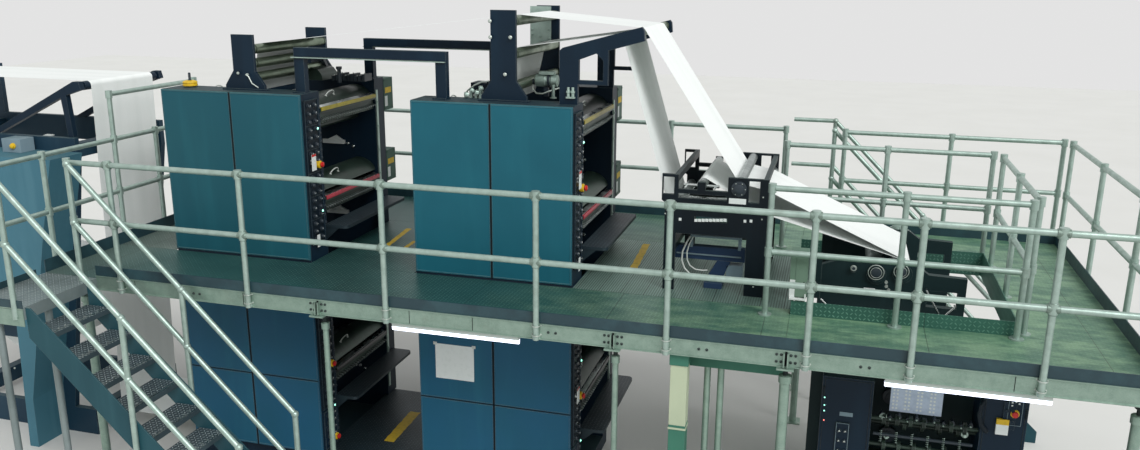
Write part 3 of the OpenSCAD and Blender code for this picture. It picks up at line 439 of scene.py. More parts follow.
class Piece:  # gathers turned, boxed, bent and extruded forms into one object of the press
    def __init__(self, name, look, slot=None):  # a look with the name of a slot takes that slot
        self.name = name
        self.finish = looks[look]
        self.slot = slot or look
        self.form = bmesh.new()

    def skin(self, loops):  # faces between a row of equal loops, closed at both ends
        rows = [[self.form.verts.new(point) for point in loop] for loop in loops]
        for first, second in zip(rows, rows[1:]):
            for i in range(len(first)):
                j = (i + 1) % len(first)
                self.form.faces.new((first[i], first[j], second[j], second[i]))
        for end in (rows[0], rows[-1]):
            self.form.faces.new(end)

    def turned(self, start, toward, profile, sides=16):  # profile of (distance along, radius)
        axis = Vector(toward).normalized()
        side = axis.orthogonal().normalized()
        up = axis.cross(side)
        self.skin([[Vector(start) + axis * along + (side * math.cos(t) + up * math.sin(t)) * radius
                    for t in around(sides)] for along, radius in profile])

    def rod(self, start, end, radius, sides=12):  # straight bar with chamfered ends
        length = (Vector(end) - Vector(start)).length
        rim = min(radius * 0.2, length * 0.2)
        self.turned(start, Vector(end) - Vector(start),
                    [(0, radius - rim), (rim, radius), (length - rim, radius), (length, radius - rim)],
                    sides)

    def border(self, y, left, bottom, right, top, radius):  # bars round a rectangle that faces front
        corners = [(left, y, bottom), (right, y, bottom), (right, y, top), (left, y, top)]
        for start, end in zip(corners, corners[1:] + corners[:1]):
            self.rod(start, end, radius, 8)

    def bent(self, path, radius, sides=10):  # round bar along a path
        path = [Vector(point) for point in path]
        loops = []
        side = path[0] * 0
        for i, point in enumerate(path):
            ahead = (path[min(i + 1, len(path) - 1)] - path[max(i - 1, 0)]).normalized()
            side = (side - ahead * side.dot(ahead) if i else ahead.orthogonal()).normalized()
            up = ahead.cross(side)
            loops.append([point + (side * math.cos(t) + up * math.sin(t)) * radius
                          for t in around(sides)])
        self.skin(loops)

    def box(self, low, high):
        flat = [(low[0], low[1]), (high[0], low[1]), (high[0], high[1]), (low[0], high[1])]
        self.skin([[(x, y, z) for x, y in flat] for z in (low[2], high[2])])

    def prism(self, outline, origin, depth, across=toRight, up=upward):  # outline in a plane, made thick
        across, up = Vector(across), Vector(up)
        through = across.cross(up).normalized() * depth
        loop = [Vector(origin) + across * a + up * b for a, b in outline]
        self.skin([loop, [point + through for point in loop]])

    def bolt(self, at, toward, size):  # washer and hexagon head
        self.turned(at, toward, [(0, size * 1.2), (size * 0.2, size * 1.15)], 12)
        self.turned(at, toward, [(size * 0.2, size * 0.92), (size * 0.85, size * 0.92),
                                 (size, size * 0.72)], 6)

    def finished(self, edge=0, steps=2):  # edge is the width of its rounded edges
        bmesh.ops.recalc_face_normals(self.form, faces=self.form.faces)
        mesh = smoothMesh(self.name, self.form, self.finish)
        mesh.set_sharp_from_angle(angle=math.radians(34))
        piece = linked(self.name, mesh)
        if edge:
            rounding = piece.modifiers.new("edges", "BEVEL")
            rounding.width = edge
            rounding.segments = steps
            rounding.limit_method = "ANGLE"
            rounding.harden_normals = True
        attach(piece, "root")
        return piece


def finishAll(edge, *pieces):
    for piece in pieces:
        piece.finished(edge)


towers = [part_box("tower_1_housing"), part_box("tower_2_housing")]
spans = [((low.x + high.x) / 2, (high.x - low.x) / 2) for low, high in towers]  # middle and half width
towerRights = [high.x for _, high in towers]
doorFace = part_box("tower_doors")[0].y
rearFace = -doorFace
towerTop = towers[0][1].z
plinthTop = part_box("tower_doors")[0].z
throatNear = towers[0][1].y
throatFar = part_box("tower_1_ink_units")[1].y
throatWidth = throatFar - throatNear
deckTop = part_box("front_deck")[1].z
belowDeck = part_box("front_edge")[0].z
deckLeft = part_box("left_deck")[0].x
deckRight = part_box("right_deck")[1].x
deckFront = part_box("front_deck")[0].y
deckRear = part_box("rear_deck")[1].y
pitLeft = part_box("pit_edge")[1].x - 1.898

stack = {"firstDrop": 0.34, "modulePitch": 1.8, "couplePitch": 0.78,
         "fountainRise": [0.05, 0.13, 0.05, 0.13]}  # the fountains' height over their couples
couples = [towerTop - stack["firstDrop"] - module * stack["modulePitch"] - couple * stack["couplePitch"]
           for module in (1, 0) for couple in (1, 0)]
fountains = [couple + rise for couple, rise in zip(couples, stack["fountainRise"])]


def flanks(levels):  # (x, side, z) of both flanks of each tower at each level
    return [(middle + side * half, side, z) for middle, half in spans for z in levels for side in (-1, 1)]


doors = {"bead": 0.0035, "setIn": 0.0095, "split": 1.08, "deckGap": 0.014,
         "gap": 0.0085, "splitGap": 0.0051, "gapEnd": 0.004, "gapShadeProud": 0.0012, "gapShadeDeep": 0.006}


def doorBeads():  # the folded edge of each leaf
    beads = Piece("doorBeads", "cabinet_blue")
    inset = doors["setIn"] + doors["bead"]
    levels = [(plinthTop, doors["split"]), (doors["split"], belowDeck),
              (deckTop + doors["deckGap"], towerTop)]
    for middle, half in spans:
        for left, right in ((middle - half, middle), (middle, middle + half)):
            for bottom, top in levels:
                beads.border(doorFace, left + inset, bottom + inset, right - inset, top - inset,
                             doors["bead"])
    beads.finished()


def doorGapShades():  # black strips painted as the shade in the gaps between the leaves, standing a hair proud
    gapShades = Piece("doorGapShades", "cavity", "panel_black")
    near, far = doorFace - doors["gapShadeProud"], doorFace + doors["gapShadeDeep"]
    gap, splitGap, end = doors["gap"], doors["splitGap"], doors["gapEnd"]
    for middle, half in spans:
        for bottom, top in ((plinthTop, belowDeck), (deckTop + doors["deckGap"], towerTop - end)):
            gapShades.box((middle - gap, near, bottom), (middle + gap, far, top))
        gapShades.box((middle - half + end, near, doors["split"] - splitGap),
                    (middle + half - end, far, doors["split"] + splitGap))
    gapShades.finished()


notice = {"left": -0.575, "bottom": 1.29, "width": 0.385, "height": 0.345, "across": 16, "down": 14,
          "stand": 0.0015, "curl": 0.004, "ripple": 0.0012, "ripples": 9,
          "tapeWide": 0.018, "tapeTall": 0.014, "tapeNear": 0.0035, "tapeFar": 0.0012}


def noticeSheet():  # a bare sheet taped to a lower door, its foot lifting a little
    left, bottom, width, height = (notice[key] for key in ("left", "bottom", "width", "height"))
    sheet = bmesh.new()
    rows = []
    for j in range(notice["down"] + 1):
        v = j / notice["down"]
        row = []
        for i in range(notice["across"] + 1):
            u = i / notice["across"]
            ripple = notice["ripple"] * math.sin(u * notice["ripples"]) * (1 - v)
            lift = notice["stand"] + notice["curl"] * (1 - v) ** 3 + ripple
            row.append(sheet.verts.new((left + u * width, doorFace - lift, bottom + v * height)))
        rows.append(row)
    for lower, upper in zip(rows, rows[1:]):
        for i in range(notice["across"]):
            sheet.faces.new((lower[i], lower[i + 1], upper[i + 1], upper[i]))
    piece = linked("noticeSheet", smoothMesh("noticeSheet", sheet, looks["label"]))
    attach(piece, "root")
    tape = Piece("noticeTape", "pale plastic", "paper")
    wide, tall, z = notice["tapeWide"], notice["tapeTall"], bottom + height
    for x in (left, left + width):
        tape.box((x - wide, doorFace - notice["tapeNear"], z - tall),
                 (x + wide, doorFace - notice["tapeFar"], z + tall))
    tape.finished()


doorBeads()
doorGapShades()
noticeSheet()
print("doors dressed")

controls = {"rows": 18, "lowRows": 5, "height": 1.38, "lowDrop": 0.44, "columns": (0.28, 0.72),
            "face": 0.014, "sunk": 0.002, "capRadius": 0.019, "capHeight": 0.014, "capLift": 0.01,
            "turns": (0, 0.8, -0.8, 1.57), "pointed": 0.75, "pointer": 0.0032,
            "rim": 0.008, "rimHeight": 0.006, "rib": 0.004, "ribHeight": 0.003, "ribRows": 3}
panelLow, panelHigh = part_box("control_panels")
buttonPitch = controls["height"] / (controls["rows"] + 0.5)
buttonColumns = [panelLow.y + share * (panelHigh.y - panelLow.y) for share in controls["columns"]]
buttonStrips = [(panelLow.z, controls["rows"]), (panelHigh.z - controls["height"], controls["rows"]),
                (panelLow.z - controls["lowDrop"], controls["lowRows"])]  # lowest z and rows


def knobCaps():  # turned caps on every switch, most with a pale pointer bar that also paints the knob's highlight
    caps = Piece("knobCaps", "knob", "panel_black")
    pointersAndGlints = Piece("knobPointersAndGlints", "pale plastic", "panel_black")
    r, h = controls["capRadius"], controls["capHeight"]
    for right in towerRights:
        face = right + controls["face"]
        foot = face + controls["capLift"]
        tip = foot + h - 0.001
        for bottom, rows in buttonStrips:
            for row in range(rows):
                for y in buttonColumns:
                    z = bottom + (row + 0.75) * buttonPitch
                    caps.turned((face - 0.001, y, z), toRight, [(0, r * 1.25), (0.004, r * 1.2)])
                    caps.turned((foot, y, z), toRight, [(0, r), (h * 0.6, r), (h, r * 0.8)], 14)
                    turn = chance.choice(controls["turns"])
                    dy, dz = math.sin(turn) * r * 0.7, math.cos(turn) * r * 0.7
                    # pale pointer bars on most knobs: real pointers, and painted highlights on the dark caps
                    if chance.random() < controls["pointed"]:
                        pointersAndGlints.rod((tip, y, z), (tip, y + dy, z + dz), controls["pointer"], 8)
    finishAll(0, caps, pointersAndGlints)


def panelFrames():  # a raised rim round each strip and thin ribs between its rows
    frames = Piece("panelFrames", "frame_navy")
    near, far = panelLow.y, panelHigh.y
    rim, sunk = controls["rim"], controls["sunk"]
    for right in towerRights:
        x = right + controls["face"]
        out = x + controls["rimHeight"]
        for bottom, rows in buttonStrips:
            top = bottom + (rows + 0.5) * buttonPitch
            if rows == controls["lowRows"]:  # this strip stands on a backing of its own
                frames.box((right - sunk, near, bottom), (x, far, top))
            for y in (near, far - rim):
                frames.box((x - sunk, y, bottom), (out, y + rim, top))
            for z in (bottom, top - rim):
                frames.box((x - sunk, near, z), (out, far, z + rim))
            for row in range(controls["ribRows"], rows, controls["ribRows"]):
                z = bottom + (row + 0.25) * buttonPitch
                frames.box((x - 0.001, near, z), (x + controls["ribHeight"], far, z + controls["rib"]))
    frames.finished(0.001)


furniture = {  # (tower, height) on the strips: stops and lamps in the far column, labels in the near one
    "stops": [(0, 3.221), (1, 3.168), (0, 1.196), (0, 0.397), (1, 1.19)],
    "lamps": [(0, 3.565), (0, 2.771), (1, 3.571), (0, 0.742), (1, 1.54), (1, 0.728)],
    "labels": [(0, 3.26), (1, 3.26), (1, 1.24)], "labelSize": (0.0375, 0.0775), "cap": 0.022,
    "lowLabels": [(0, 2.50), (1, 2.50)], "lowLabelSize": (0.025, 0.06), "stalk": (0.012, 0.02),
    "base": [(0, 0.038), (0.034, 0.036), (0.038, 0.030)],
    "head": [(0, 0.014), (0.012, 0.014), (0.013, 0.026), (0.024, 0.025), (0.030, 0.016)],
    "socket": [(0, 0.02), (0.026, 0.019)], "lens": [(0, 0.011), (0.006, 0.010), (0.011, 0.005)]}


def panelFurniture():  # stop buttons, lamps and bare labels on stalks
    bases = Piece("stopBases", "stop yellow", "panel_black")
    heads = Piece("stopHeads", "stop red", "panel_black")
    lamps = Piece("panelLamps", "lens", "lamp")
    labels = Piece("panelLabels", "label", "panel_black")
    caps = Piece("labelCaps", "stop red", "panel_black")
    sockets = Piece("lampSockets", "knob", "panel_black")
    nearY, farY = buttonColumns
    faces = [right + controls["face"] for right in towerRights]
    for tower, z in furniture["stops"]:
        bases.turned((faces[tower], farY, z), toRight, furniture["base"], 24)
        heads.turned((faces[tower] + 0.036, farY, z), toRight, furniture["head"], 24)
    for tower, z in furniture["lamps"]:
        sockets.turned((faces[tower], farY, z), toRight, furniture["socket"])
        lamps.turned((faces[tower] + 0.024, farY, z), toRight, furniture["lens"])
    stalk, rise = furniture["stalk"]
    for places, (wide, tall) in ((furniture["labels"], furniture["labelSize"]),
                                 (furniture["lowLabels"], furniture["lowLabelSize"])):
        for tower, z in places:
            x = faces[tower]
            labels.box((x + 0.028, nearY - wide, z - tall), (x + 0.031, nearY + wide, z + tall))
            labels.box((x, nearY - stalk, z - rise), (x + 0.029, nearY + stalk, z + rise))
    wide, tall = furniture["labelSize"]
    for tower, z in furniture["labels"]:
        x = faces[tower]
        caps.box((x + 0.030, nearY - wide, z + tall - furniture["cap"]), (x + 0.032, nearY + wide, z + tall))
    bases.finished(0.001)
    finishAll(0, heads, lamps, labels, caps, sockets)


knobCaps()
panelFrames()
panelFurniture()
print("control strips dressed")

inking = {"colours": ["ink black", "ink blue", "ink red", "ink yellow"],
          "barBack": 0.036, "barFront": 0.0135, "barHeight": 0.048, "barFoot": 0.0168, "barSkin": 0.004,
          "keys": 24, "keyRadius": 0.009, "keyIn": 0.02, "keyDrop": 0.055, "keyTilt": -0.35,
          "lip": [(0, 0), (0.045, -0.004), (0.046, 0.0), (0.002, 0.012)], "lipIn": 0.045, "lipRise": 0.006,
          "hoodReach": 0.205, "hoodFlat": 0.82, "hoodSetBack": 0.23, "hoodRise": 0.11,
          "pullOut": 0.11, "pullPlace": 0.36, "pullRadius": 0.006, "pullFoot": [(0, 0.014), (0.008, 0.012)]}


def fountainBars():  # the coloured duct blade over each fountain
    back, front, tall = inking["barBack"], inking["barFront"], inking["barHeight"]
    skin, foot = inking["barSkin"], inking["barFoot"]
    outline = [(-back, tall + skin), (front, tall + skin), (front + skin, tall - skin),
               (front + skin, foot), (front - 0.001, foot), (front - 0.001, tall), (-back, tall)]
    for look, level in zip(inking["colours"], fountains):
        bars = Piece(look.replace(" ", "") + "Bars", look, "ink_metal")
        for x, side, z in flanks([level]):
            bars.prism([(side * a, b) for a, b in outline], (x, throatNear + skin, z),
                       2 * skin - throatWidth)
        bars.finished(0.001)


def inkKeys():  # screw knobs under each fountain, one for each zone
    keys = Piece("inkKeys", "roller_steel")
    r = inking["keyRadius"]
    profile = [(0, 0.005), (0.014, 0.005), (0.015, r), (0.034, r), (0.036, 0.007)]
    for x, side, z in flanks(fountains):
        for k in range(inking["keys"]):
            y = throatNear + (k + 0.65) * throatWidth / inking["keys"]
            keys.turned((x - side * inking["keyIn"], y, z - inking["keyDrop"]),
                        (side, 0, inking["keyTilt"]), profile, 8)
    keys.finished()


def fountainLips():  # pale steel strip between hood and duct
    lips = Piece("fountainLips", "polished", "roller_steel")
    for x, side, z in flanks(fountains):
        lips.prism(inking["lip"], (x - side * inking["lipIn"], throatNear + 0.01,
                                   z + inking["barHeight"] + inking["lipRise"]),
                   (0.02 - throatWidth) * side, (side, 0, 0))
    lips.finished(0.001)


def hoodHandles():  # a bowed pull on every ink hood
    pulls = Piece("hoodHandles", "pale plastic", "roller_steel")
    out, r = inking["pullOut"], inking["pullRadius"]
    rise = inking["hoodRise"] + inking["hoodFlat"] * math.sqrt(inking["hoodReach"] ** 2 - out ** 2)
    y = throatNear + inking["pullPlace"] * throatWidth
    for edge, side, couple in flanks(couples):
        x, z = edge - side * (inking["hoodSetBack"] - out), couple + rise
        path = [Vector((x + side * 0.022 * math.sin(t), y - 0.075 * math.cos(t), z + 0.045 * math.sin(t)))
                for t in halfTurn(12)]
        pulls.bent(path, r, 8)
        for end in (path[0], path[-1]):
            pulls.turned(end - Vector((0, 0, r)), (side * 0.5, 0, 1), inking["pullFoot"], 12)
    pulls.finished()


throat = {"above": (0.2, -0.12), "below": (0.1, -0.35), "runner": (0.012, 0.05), "runnerThick": 0.012,
          "bolts": 5, "bolt": 0.009, "pitch": 0.075, "near": 0.026, "sway": 0.007, "swayPace": 2.4,
          "bearing": [(0, 0.014), (0.009, 0.014), (0.012, 0.008), (0.016, 0.007)]}


def throatEdges():  # steel runner on the far frame, bearing caps down the near one
    runners = Piece("throatRunners", "galvanised")
    bearings = Piece("throatBearings", "knob", "ink_metal")
    levels = [(deckTop + throat["above"][0], towerTop + throat["above"][1]),
              (plinthTop + throat["below"][0], deckTop + throat["below"][1])]
    near, far = (throatFar + depth for depth in throat["runner"])
    for right in towerRights:
        face = right + throat["runnerThick"]
        for bottom, top in levels:
            runners.box((right - 0.002, near, bottom), (face, far, top))
            steps = int((top - bottom) / throat["pitch"])
            for k in range(steps):
                z = bottom + (k + 0.5) * (top - bottom) / steps
                y = throatNear - throat["near"] + throat["sway"] * math.sin(k * throat["swayPace"])
                bearings.turned((right - 0.002, y, z), toRight, throat["bearing"], 12)
            for k in range(throat["bolts"]):
                z = bottom + (k + 0.5) * (top - bottom) / throat["bolts"]
                runners.bolt((face, (near + far) / 2, z), toRight, throat["bolt"])
    runners.finished(0.001)
    bearings.finished()


wash = {"drop": 0.35, "bar": (0.113, 0.37), "blade": [(0, 0), (0.19, 0), (0.11, 0.05)], "bladeAt": 0.16,
        "studs": [(0.41, -0.01), (0.47, -0.04)], "stud": [(0, 0.016), (0.02, 0.016), (0.026, 0.008)]}


def washBars():  # short bright bars and studs on the far frame, seen between the couples
    bars = Piece("washBars", "label", "roller_steel")
    studs = Piece("washStuds", "polished", "roller_steel")
    for middle, _ in spans:
        for couple in couples:
            z = couple - wash["drop"]
            start, end = (middle + along for along in wash["bar"])
            bars.box((start, throatFar - 0.03, z - 0.02), (end, throatFar + 0.002, z + 0.022))
            bars.prism(wash["blade"], (middle + wash["bladeAt"], throatFar - 0.02, z + 0.02), -0.02)
            for along, rise in wash["studs"]:
                studs.turned((middle + along, throatFar + 0.001, z + rise), toFront, wash["stud"], 12)
    bars.finished(0.001)
    studs.finished()


gearCover = {"foot": 0.02, "head": 0.32, "back": 0.262, "depth": 0.212, "proud": 0.003,  # above a couple
             "band": (0.03, 0.17, -0.16, -0.10), "plate": (0.02, 0.08, -0.30, -0.19),  # y, z on the face
             "bolts": (0.02, 0.19), "bolt": 0.007}


def gearCovers():  # green covers over the drive boxes, with bare plates on their faces
    covers = Piece("gearCovers", "gear green", "frame_navy")
    plates = Piece("gearPlates", "label", "panel_black")
    bands = Piece("gearBands", "tape", "panel_black")
    for right in towerRights:
        face = right + gearCover["proud"]
        for couple in couples[2:]:
            bottom, top = couple - gearCover["foot"], couple + gearCover["head"]
            covers.box((right - gearCover["back"], rearFace, bottom - 0.001),
                       (face, rearFace + gearCover["depth"], top + 0.001))
            for piece, (near, far, low, high) in ((bands, gearCover["band"]), (plates, gearCover["plate"])):
                piece.box((face - 0.001, rearFace + near, top + low),
                          (face + 0.002, rearFace + far, top + high))
            for depth in gearCover["bolts"]:
                for z in (bottom + 0.02, top - 0.02):
                    covers.bolt((face, rearFace + depth, z), toRight, gearCover["bolt"])
    covers.finished(0.002)
    finishAll(0, plates, bands)


fountainBars()
inkKeys()
fountainLips()
hoodHandles()
throatEdges()
washBars()
gearCovers()
print("inking trains dressed")

deckEdge = {"channelTop": 0.026, "channelFoot": -0.108, "skin": 0.0028, "flange": 0.012, "setBack": 0.008,
            "leftEnd": 0.56, "pitEnds": (0.04, 0.52),
            "splices": [-1.184, 1.355, 2.655], "spliceBolts": [0.035, 0.068], "spliceRise": 0.028,
            "plate": 0.063, "spliceGap": 0.008, "bolt": 0.010,
            "gaps": [-3.0, -1.9, -0.35, 0.2, 4.2], "gap": 0.0025,
            "pairs": [-2.366, 0.865, 2.045, 3.21], "pairHalf": 0.03}
channelLow, channelHigh = deckTop + deckEdge["channelFoot"], deckTop + deckEdge["channelTop"]


def edgeChannels():  # the bare steel face of the deck channel, below its painted toe board
    faces = Piece("edgeChannels", "edge face", "edge_steel")
    low, high = channelLow, channelHigh
    skin, lip, setBack = deckEdge["skin"], deckEdge["flange"], deckEdge["setBack"]
    pitStart, pitEnd = deckEdge["pitEnds"]
    frontRuns = [(deckLeft + deckEdge["leftEnd"], deckRight)]
    rearRuns = [(deckLeft, pitLeft - pitStart), (pitLeft + pitEnd, deckRight)]
    for y, out, runs in ((deckFront - setBack, -1, frontRuns), (deckRear + setBack, 1, rearRuns)):
        section = [(0, low), (out * lip, low), (out * lip, low + 0.008), (out * skin, low + 0.011),
                   (out * skin, high - 0.011), (out * lip, high - 0.008), (out * lip, high), (0, high)]
        for start, end in runs:
            faces.prism(section, (start, y, 0), end - start, (0, 1, 0))
    faces.finished(0.001)


def edgeJoints():  # bolted splices where two channels meet, and pairs of bolts between them
    plates = Piece("edgeJoints", "edge face", "edge_steel")
    bolts = Piece("edgeBolts", "jack steel", "galvanised")
    gaps = Piece("edgeGaps", "cavity", "panel_black")
    y = deckFront - deckEdge["setBack"] - deckEdge["skin"]
    middle = (channelLow + channelHigh) / 2
    rise, plate, size = deckEdge["spliceRise"], deckEdge["plate"], deckEdge["bolt"]
    for x in deckEdge["splices"]:
        for side in (-1, 1):
            rib = x + side * 0.014
            plates.box((rib - 0.005, y - 0.034, channelLow + 0.004), (rib + 0.005, y, channelHigh - 0.02))
            for out in deckEdge["spliceBolts"]:
                for z in (middle - rise, middle + rise):
                    bolts.bolt((x + side * out, y, z), toFront, size)
        plates.box((x - plate, y - 0.045, channelLow - 0.014), (x + plate, y + 0.05, channelLow))
    for places, half in ((deckEdge["splices"], deckEdge["spliceGap"]), (deckEdge["gaps"], deckEdge["gap"])):
        for x in places:
            gaps.box((x - half, y - 0.0012, channelLow + 0.002), (x + half, y + 0.001, channelHigh - 0.002))
    for x in deckEdge["pairs"]:
        for side in (-1, 1):
            bolts.bolt((x + side * deckEdge["pairHalf"], y, middle), toFront, size)
    plates.finished(0.0012)
    finishAll(0, bolts, gaps)


landing = {"strip": 0.006, "toe": (-0.02, 0.06), "channel": (-0.165, -0.022), "rearEnd": 0.1, "bolt": 0.009}


def landingEdge():  # toe strip and channel along the open sides of the front landing
    low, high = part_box("front_landing")
    toe = Piece("landingToe", "edge_steel")
    rim = Piece("landingChannel", "edge face", "edge_steel")
    left, front = low.x - landing["strip"], low.y - landing["strip"]
    for x0, x1, y0, y1 in ((left, high.x, front, low.y), (left, low.x, low.y, high.y - landing["rearEnd"])):
        toe.box((x0, y0, deckTop + landing["toe"][0]), (x1, y1, deckTop + landing["toe"][1]))
        rim.box((x0, y0 - 0.002, deckTop + landing["channel"][0]), (x1, y1, deckTop + landing["channel"][1]))
    for x in (low.x + 0.05, low.x + 0.085, high.x - 0.06):
        rim.bolt((x, front - 0.002, deckTop - 0.09), toFront, landing["bolt"])
    finishAll(0.001, toe, rim)


railing = {"posts": [-3.129, -1.839, -0.549, 0.741, 1.768, 2.795, 3.51, 4.365], "middle": 0.532, "top": 1.055,
           "offset": 0.032, "sleeve": 0.031, "sleeveHalf": 0.0425, "screw": 0.006, "screwAt": 0.62,
           "straps": (-0.065, 0.012), "strap": 0.031, "strapDeep": 0.03, "strapBar": 0.005, "nut": 0.008}


def railClamps():  # sleeves with grub screws where rails meet posts, and U-bolts at the posts' feet
    sleeves = Piece("railSleeves", "clamp zinc", "galvanised")
    straps = Piece("railStraps", "bolt zinc", "galvanised")
    y = deckFront - railing["offset"]
    r, half, wide, deep = (railing[key] for key in ("sleeve", "sleeveHalf", "strap", "strapDeep"))

    def sleeve(radius):
        return [(0, radius - 0.003), (0.004, radius), (2 * half - 0.004, radius), (2 * half, radius - 0.003)]

    for x in railing["posts"]:
        sleeves.turned((x, y, deckTop + railing["middle"] - half), upward, sleeve(r + 0.001), 20)
        for level in (railing["middle"], railing["top"]):
            z = deckTop + level
            sleeves.turned((x - half, y, z), toRight, sleeve(r), 20)
            for side in (-1, 1):
                sleeves.bolt((x + side * half * railing["screwAt"], y - r + 0.001, z), toFront,
                             railing["screw"])
        for rise in railing["straps"]:
            z = deckTop + rise
            bow = [(x - wide * math.cos(t), y - wide * math.sin(t), z) for t in halfTurn(10)]
            straps.bent([(x - wide, y + deep, z)] + bow + [(x + wide, y + deep, z)], railing["strapBar"], 8)
            for side in (-1, 1):
                straps.bolt((x + side * wide, y + 0.021, z), toFront, railing["nut"])
    sleeves.finished(0.0008)
    straps.finished()


tapes = {"thick": 0.0012, "sunk": 0.0004, "steps": 14, "deckTape": [
    [(-1.42, -0.12), (-1.37, -0.12), (-1.44, 0.57), (-1.50, 0.57)],
    [(-1.21, -0.20), (-1.165, -0.20), (-1.18, 0.14), (-1.225, 0.14)],
    [(1.12, -0.18), (1.19, -0.18), (1.14, 0.73), (1.07, 0.73)]],
    "floorTape": [[(-1.38, -0.40), (-1.27, -0.40), (-1.29, 0.30), (-1.41, 0.30)]]}


def tapeMarks():  # worn strips stuck on the deck and on the lower floor, with ragged long edges
    steps = tapes["steps"]
    for name, z in (("deckTape", deckTop), ("floorTape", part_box("lower_bay_floor")[1].z)):
        tape = Piece(name, "tape", "panel_black")
        for a, b, c, d in tapes[name]:
            rungs = []
            for k in range(steps + 1):
                s = k / steps
                rag = 0.0035 * math.sin(k * 2.3) + 0.002 * math.sin(k * 5.1)
                rungs.append([(a[0] + (d[0] - a[0]) * s + rag, a[1] + (d[1] - a[1]) * s),
                              (b[0] + (c[0] - b[0]) * s + rag * 0.7, b[1] + (c[1] - b[1]) * s)])
            for first, second in zip(rungs, rungs[1:]):
                tape.prism(first + second[::-1], (0, 0, z - tapes["sunk"]), tapes["thick"], up=(0, 1, 0))
        tape.finished()


treads = {"count": 10, "first": 0.234, "spare": 0.24, "back": 0.004, "nose": 0.006, "rise": 0.0045,
          "studs": 9, "studIn": 0.03, "stud": [(0, 0.011), (0.004, 0.011), (0.006, 0.007)]}


def stairLips():  # bright nosing bar with a row of studs along the front of every tread
    lips = Piece("treadLips", "polished", "tread_aluminium")
    low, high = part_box("front_stair_treads")
    rise = deckTop / (treads["count"] + 1)
    going = (high.x - low.x - treads["spare"]) / (treads["count"] - 1)
    for k in range(treads["count"]):
        x = low.x + treads["first"] + k * going
        z = deckTop - (k + 1) * rise
        lips.box((x - treads["back"], low.y, z - 0.004), (x + treads["nose"], high.y, z + treads["rise"]))
        for s in range(treads["studs"]):
            y = low.y + (s + 0.5) * (high.y - low.y) / treads["studs"]
            lips.turned((x - treads["studIn"], y, z - 0.001), upward, treads["stud"], 8)
    lips.finished()


columns = {"places": [deckLeft + 0.33, -1.184, 1.355, pitLeft + 0.22, deckRight - 0.13], "inset": 0.09,
           "thin": 0.0245, "thick": 0.039, "thickOnes": (0, 3, 4), "foot": 0.045, "head": 0.06,
           "plate": 0.012, "collar": 0.01, "jack": 0.10, "screw": 0.018, "nut": 0.034, "bolt": 0.010}


def thinColumns(node, y):  # tube columns with a screw jack on top, which stand in for a node
    name = node.replace("_", "")
    tubes = Piece(name + "Tubes", "edge face", "galvanised")
    jacks = Piece(name + "Jacks", "jack steel", "galvanised")
    nuts = Piece(name + "Nuts", "bolt zinc", "galvanised")
    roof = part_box(node)[1].z
    top = roof - columns["jack"]
    plate, head, nut = columns["plate"], columns["head"], columns["nut"]
    for k, x in enumerate(columns["places"]):
        r = columns["thick"] if k in columns["thickOnes"] else columns["thin"]
        foot, collar = r + columns["foot"], r + columns["collar"]
        tubes.turned((x, y, 0.010), upward, [(0, r), (top - 0.010, r)], 28)
        tubes.turned((x, y, top - 0.065), upward,
                     [(0, collar - 0.004), (0.004, collar), (0.058, collar), (0.062, collar - 0.004)], 28)
        tubes.box((x - foot, y - foot, 0), (x + foot, y + foot, plate))
        tubes.box((x - head, y - head, roof - plate), (x + head, y + head, roof))
        jacks.turned((x, y, top - 0.01), upward,
                     [(0, columns["screw"]), (roof - top + 0.006, columns["screw"])], 20)
        jacks.turned((x, y, roof - 0.055), upward, [(0, nut), (0.03, nut)], 6)
        for dx in (-1, 1):
            for dy in (-1, 1):
                nuts.bolt((x + dx * (r + 0.027), y + dy * (r + 0.027), plate), upward, columns["bolt"])
    standIn = tubes.finished(0.001)
    finishAll(0, jacks, nuts)
    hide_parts(node)


post = {"at": (1.865, -1.72), "half": 0.065, "joint": 1.60, "head": 0.1, "headRim": 0.008,
        "band": (0.035, 0.018), "bandRim": 0.006}


def boxPost():  # the square post in the middle of the front: pale above its joint, green below
    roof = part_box("front_columns")[1].z

    def block(piece, rim, low, high):
        reach = post["half"] + rim
        x, y = post["at"]
        piece.box((x - reach, y - reach, low), (x + reach, y + reach, high))

    pale = Piece("boxPostPale", "post pale", "galvanised")
    block(pale, 0, post["joint"], roof - post["head"])
    block(pale, post["bandRim"], post["joint"] - post["band"][0], post["joint"] - post["band"][1])
    pale.finished(0.003)
    green = Piece("boxPostGreen", "post green", "galvanised")
    block(green, 0, 0, post["joint"])
    block(green, post["headRim"], roof - post["head"], roof)
    green.finished(0.003)


inner = {"section": [(0, 0), (0.05, 0), (0.05, 0.008), (0.008, 0.008), (0.008, 0.082), (0.05, 0.082),
                     (0.05, 0.09), (0, 0.09)],
         "start": (1.80, -1.60, 2.035), "length": 0.86, "hangers": (1.83, 2.63), "hanger": 0.03,
         "props": (2.06, 2.165), "propY": -1.575, "foot": 0.05, "prop": 0.026}


def innerBeam():  # second beam with two pipe props behind the box post
    _, y, low = inner["start"]
    beam = Piece("innerBeam", "post green", "edge_steel")
    beam.prism(inner["section"], inner["start"], inner["length"], (0, 1, 0))
    for x in inner["hangers"]:
        beam.box((x - inner["hanger"], y, low + 0.085), (x + inner["hanger"], y + 0.05, channelLow))
    beam.finished(0.001)
    props = Piece("innerProps", "edge face", "galvanised")
    foot, r = inner["foot"], inner["prop"]
    for x in inner["props"]:
        props.turned((x, inner["propY"], 0), upward,
                     [(0, foot), (0.01, foot), (0.012, r), (low + 0.002, r)], 24)
    props.finished()


edgeChannels()
edgeJoints()
landingEdge()
railClamps()
tapeMarks()
stairLips()
thinColumns("front_columns", deckFront + columns["inset"])
thinColumns("rear_columns", deckRear - columns["inset"])
boxPost()
innerBeam()
print("deck and rails dressed")

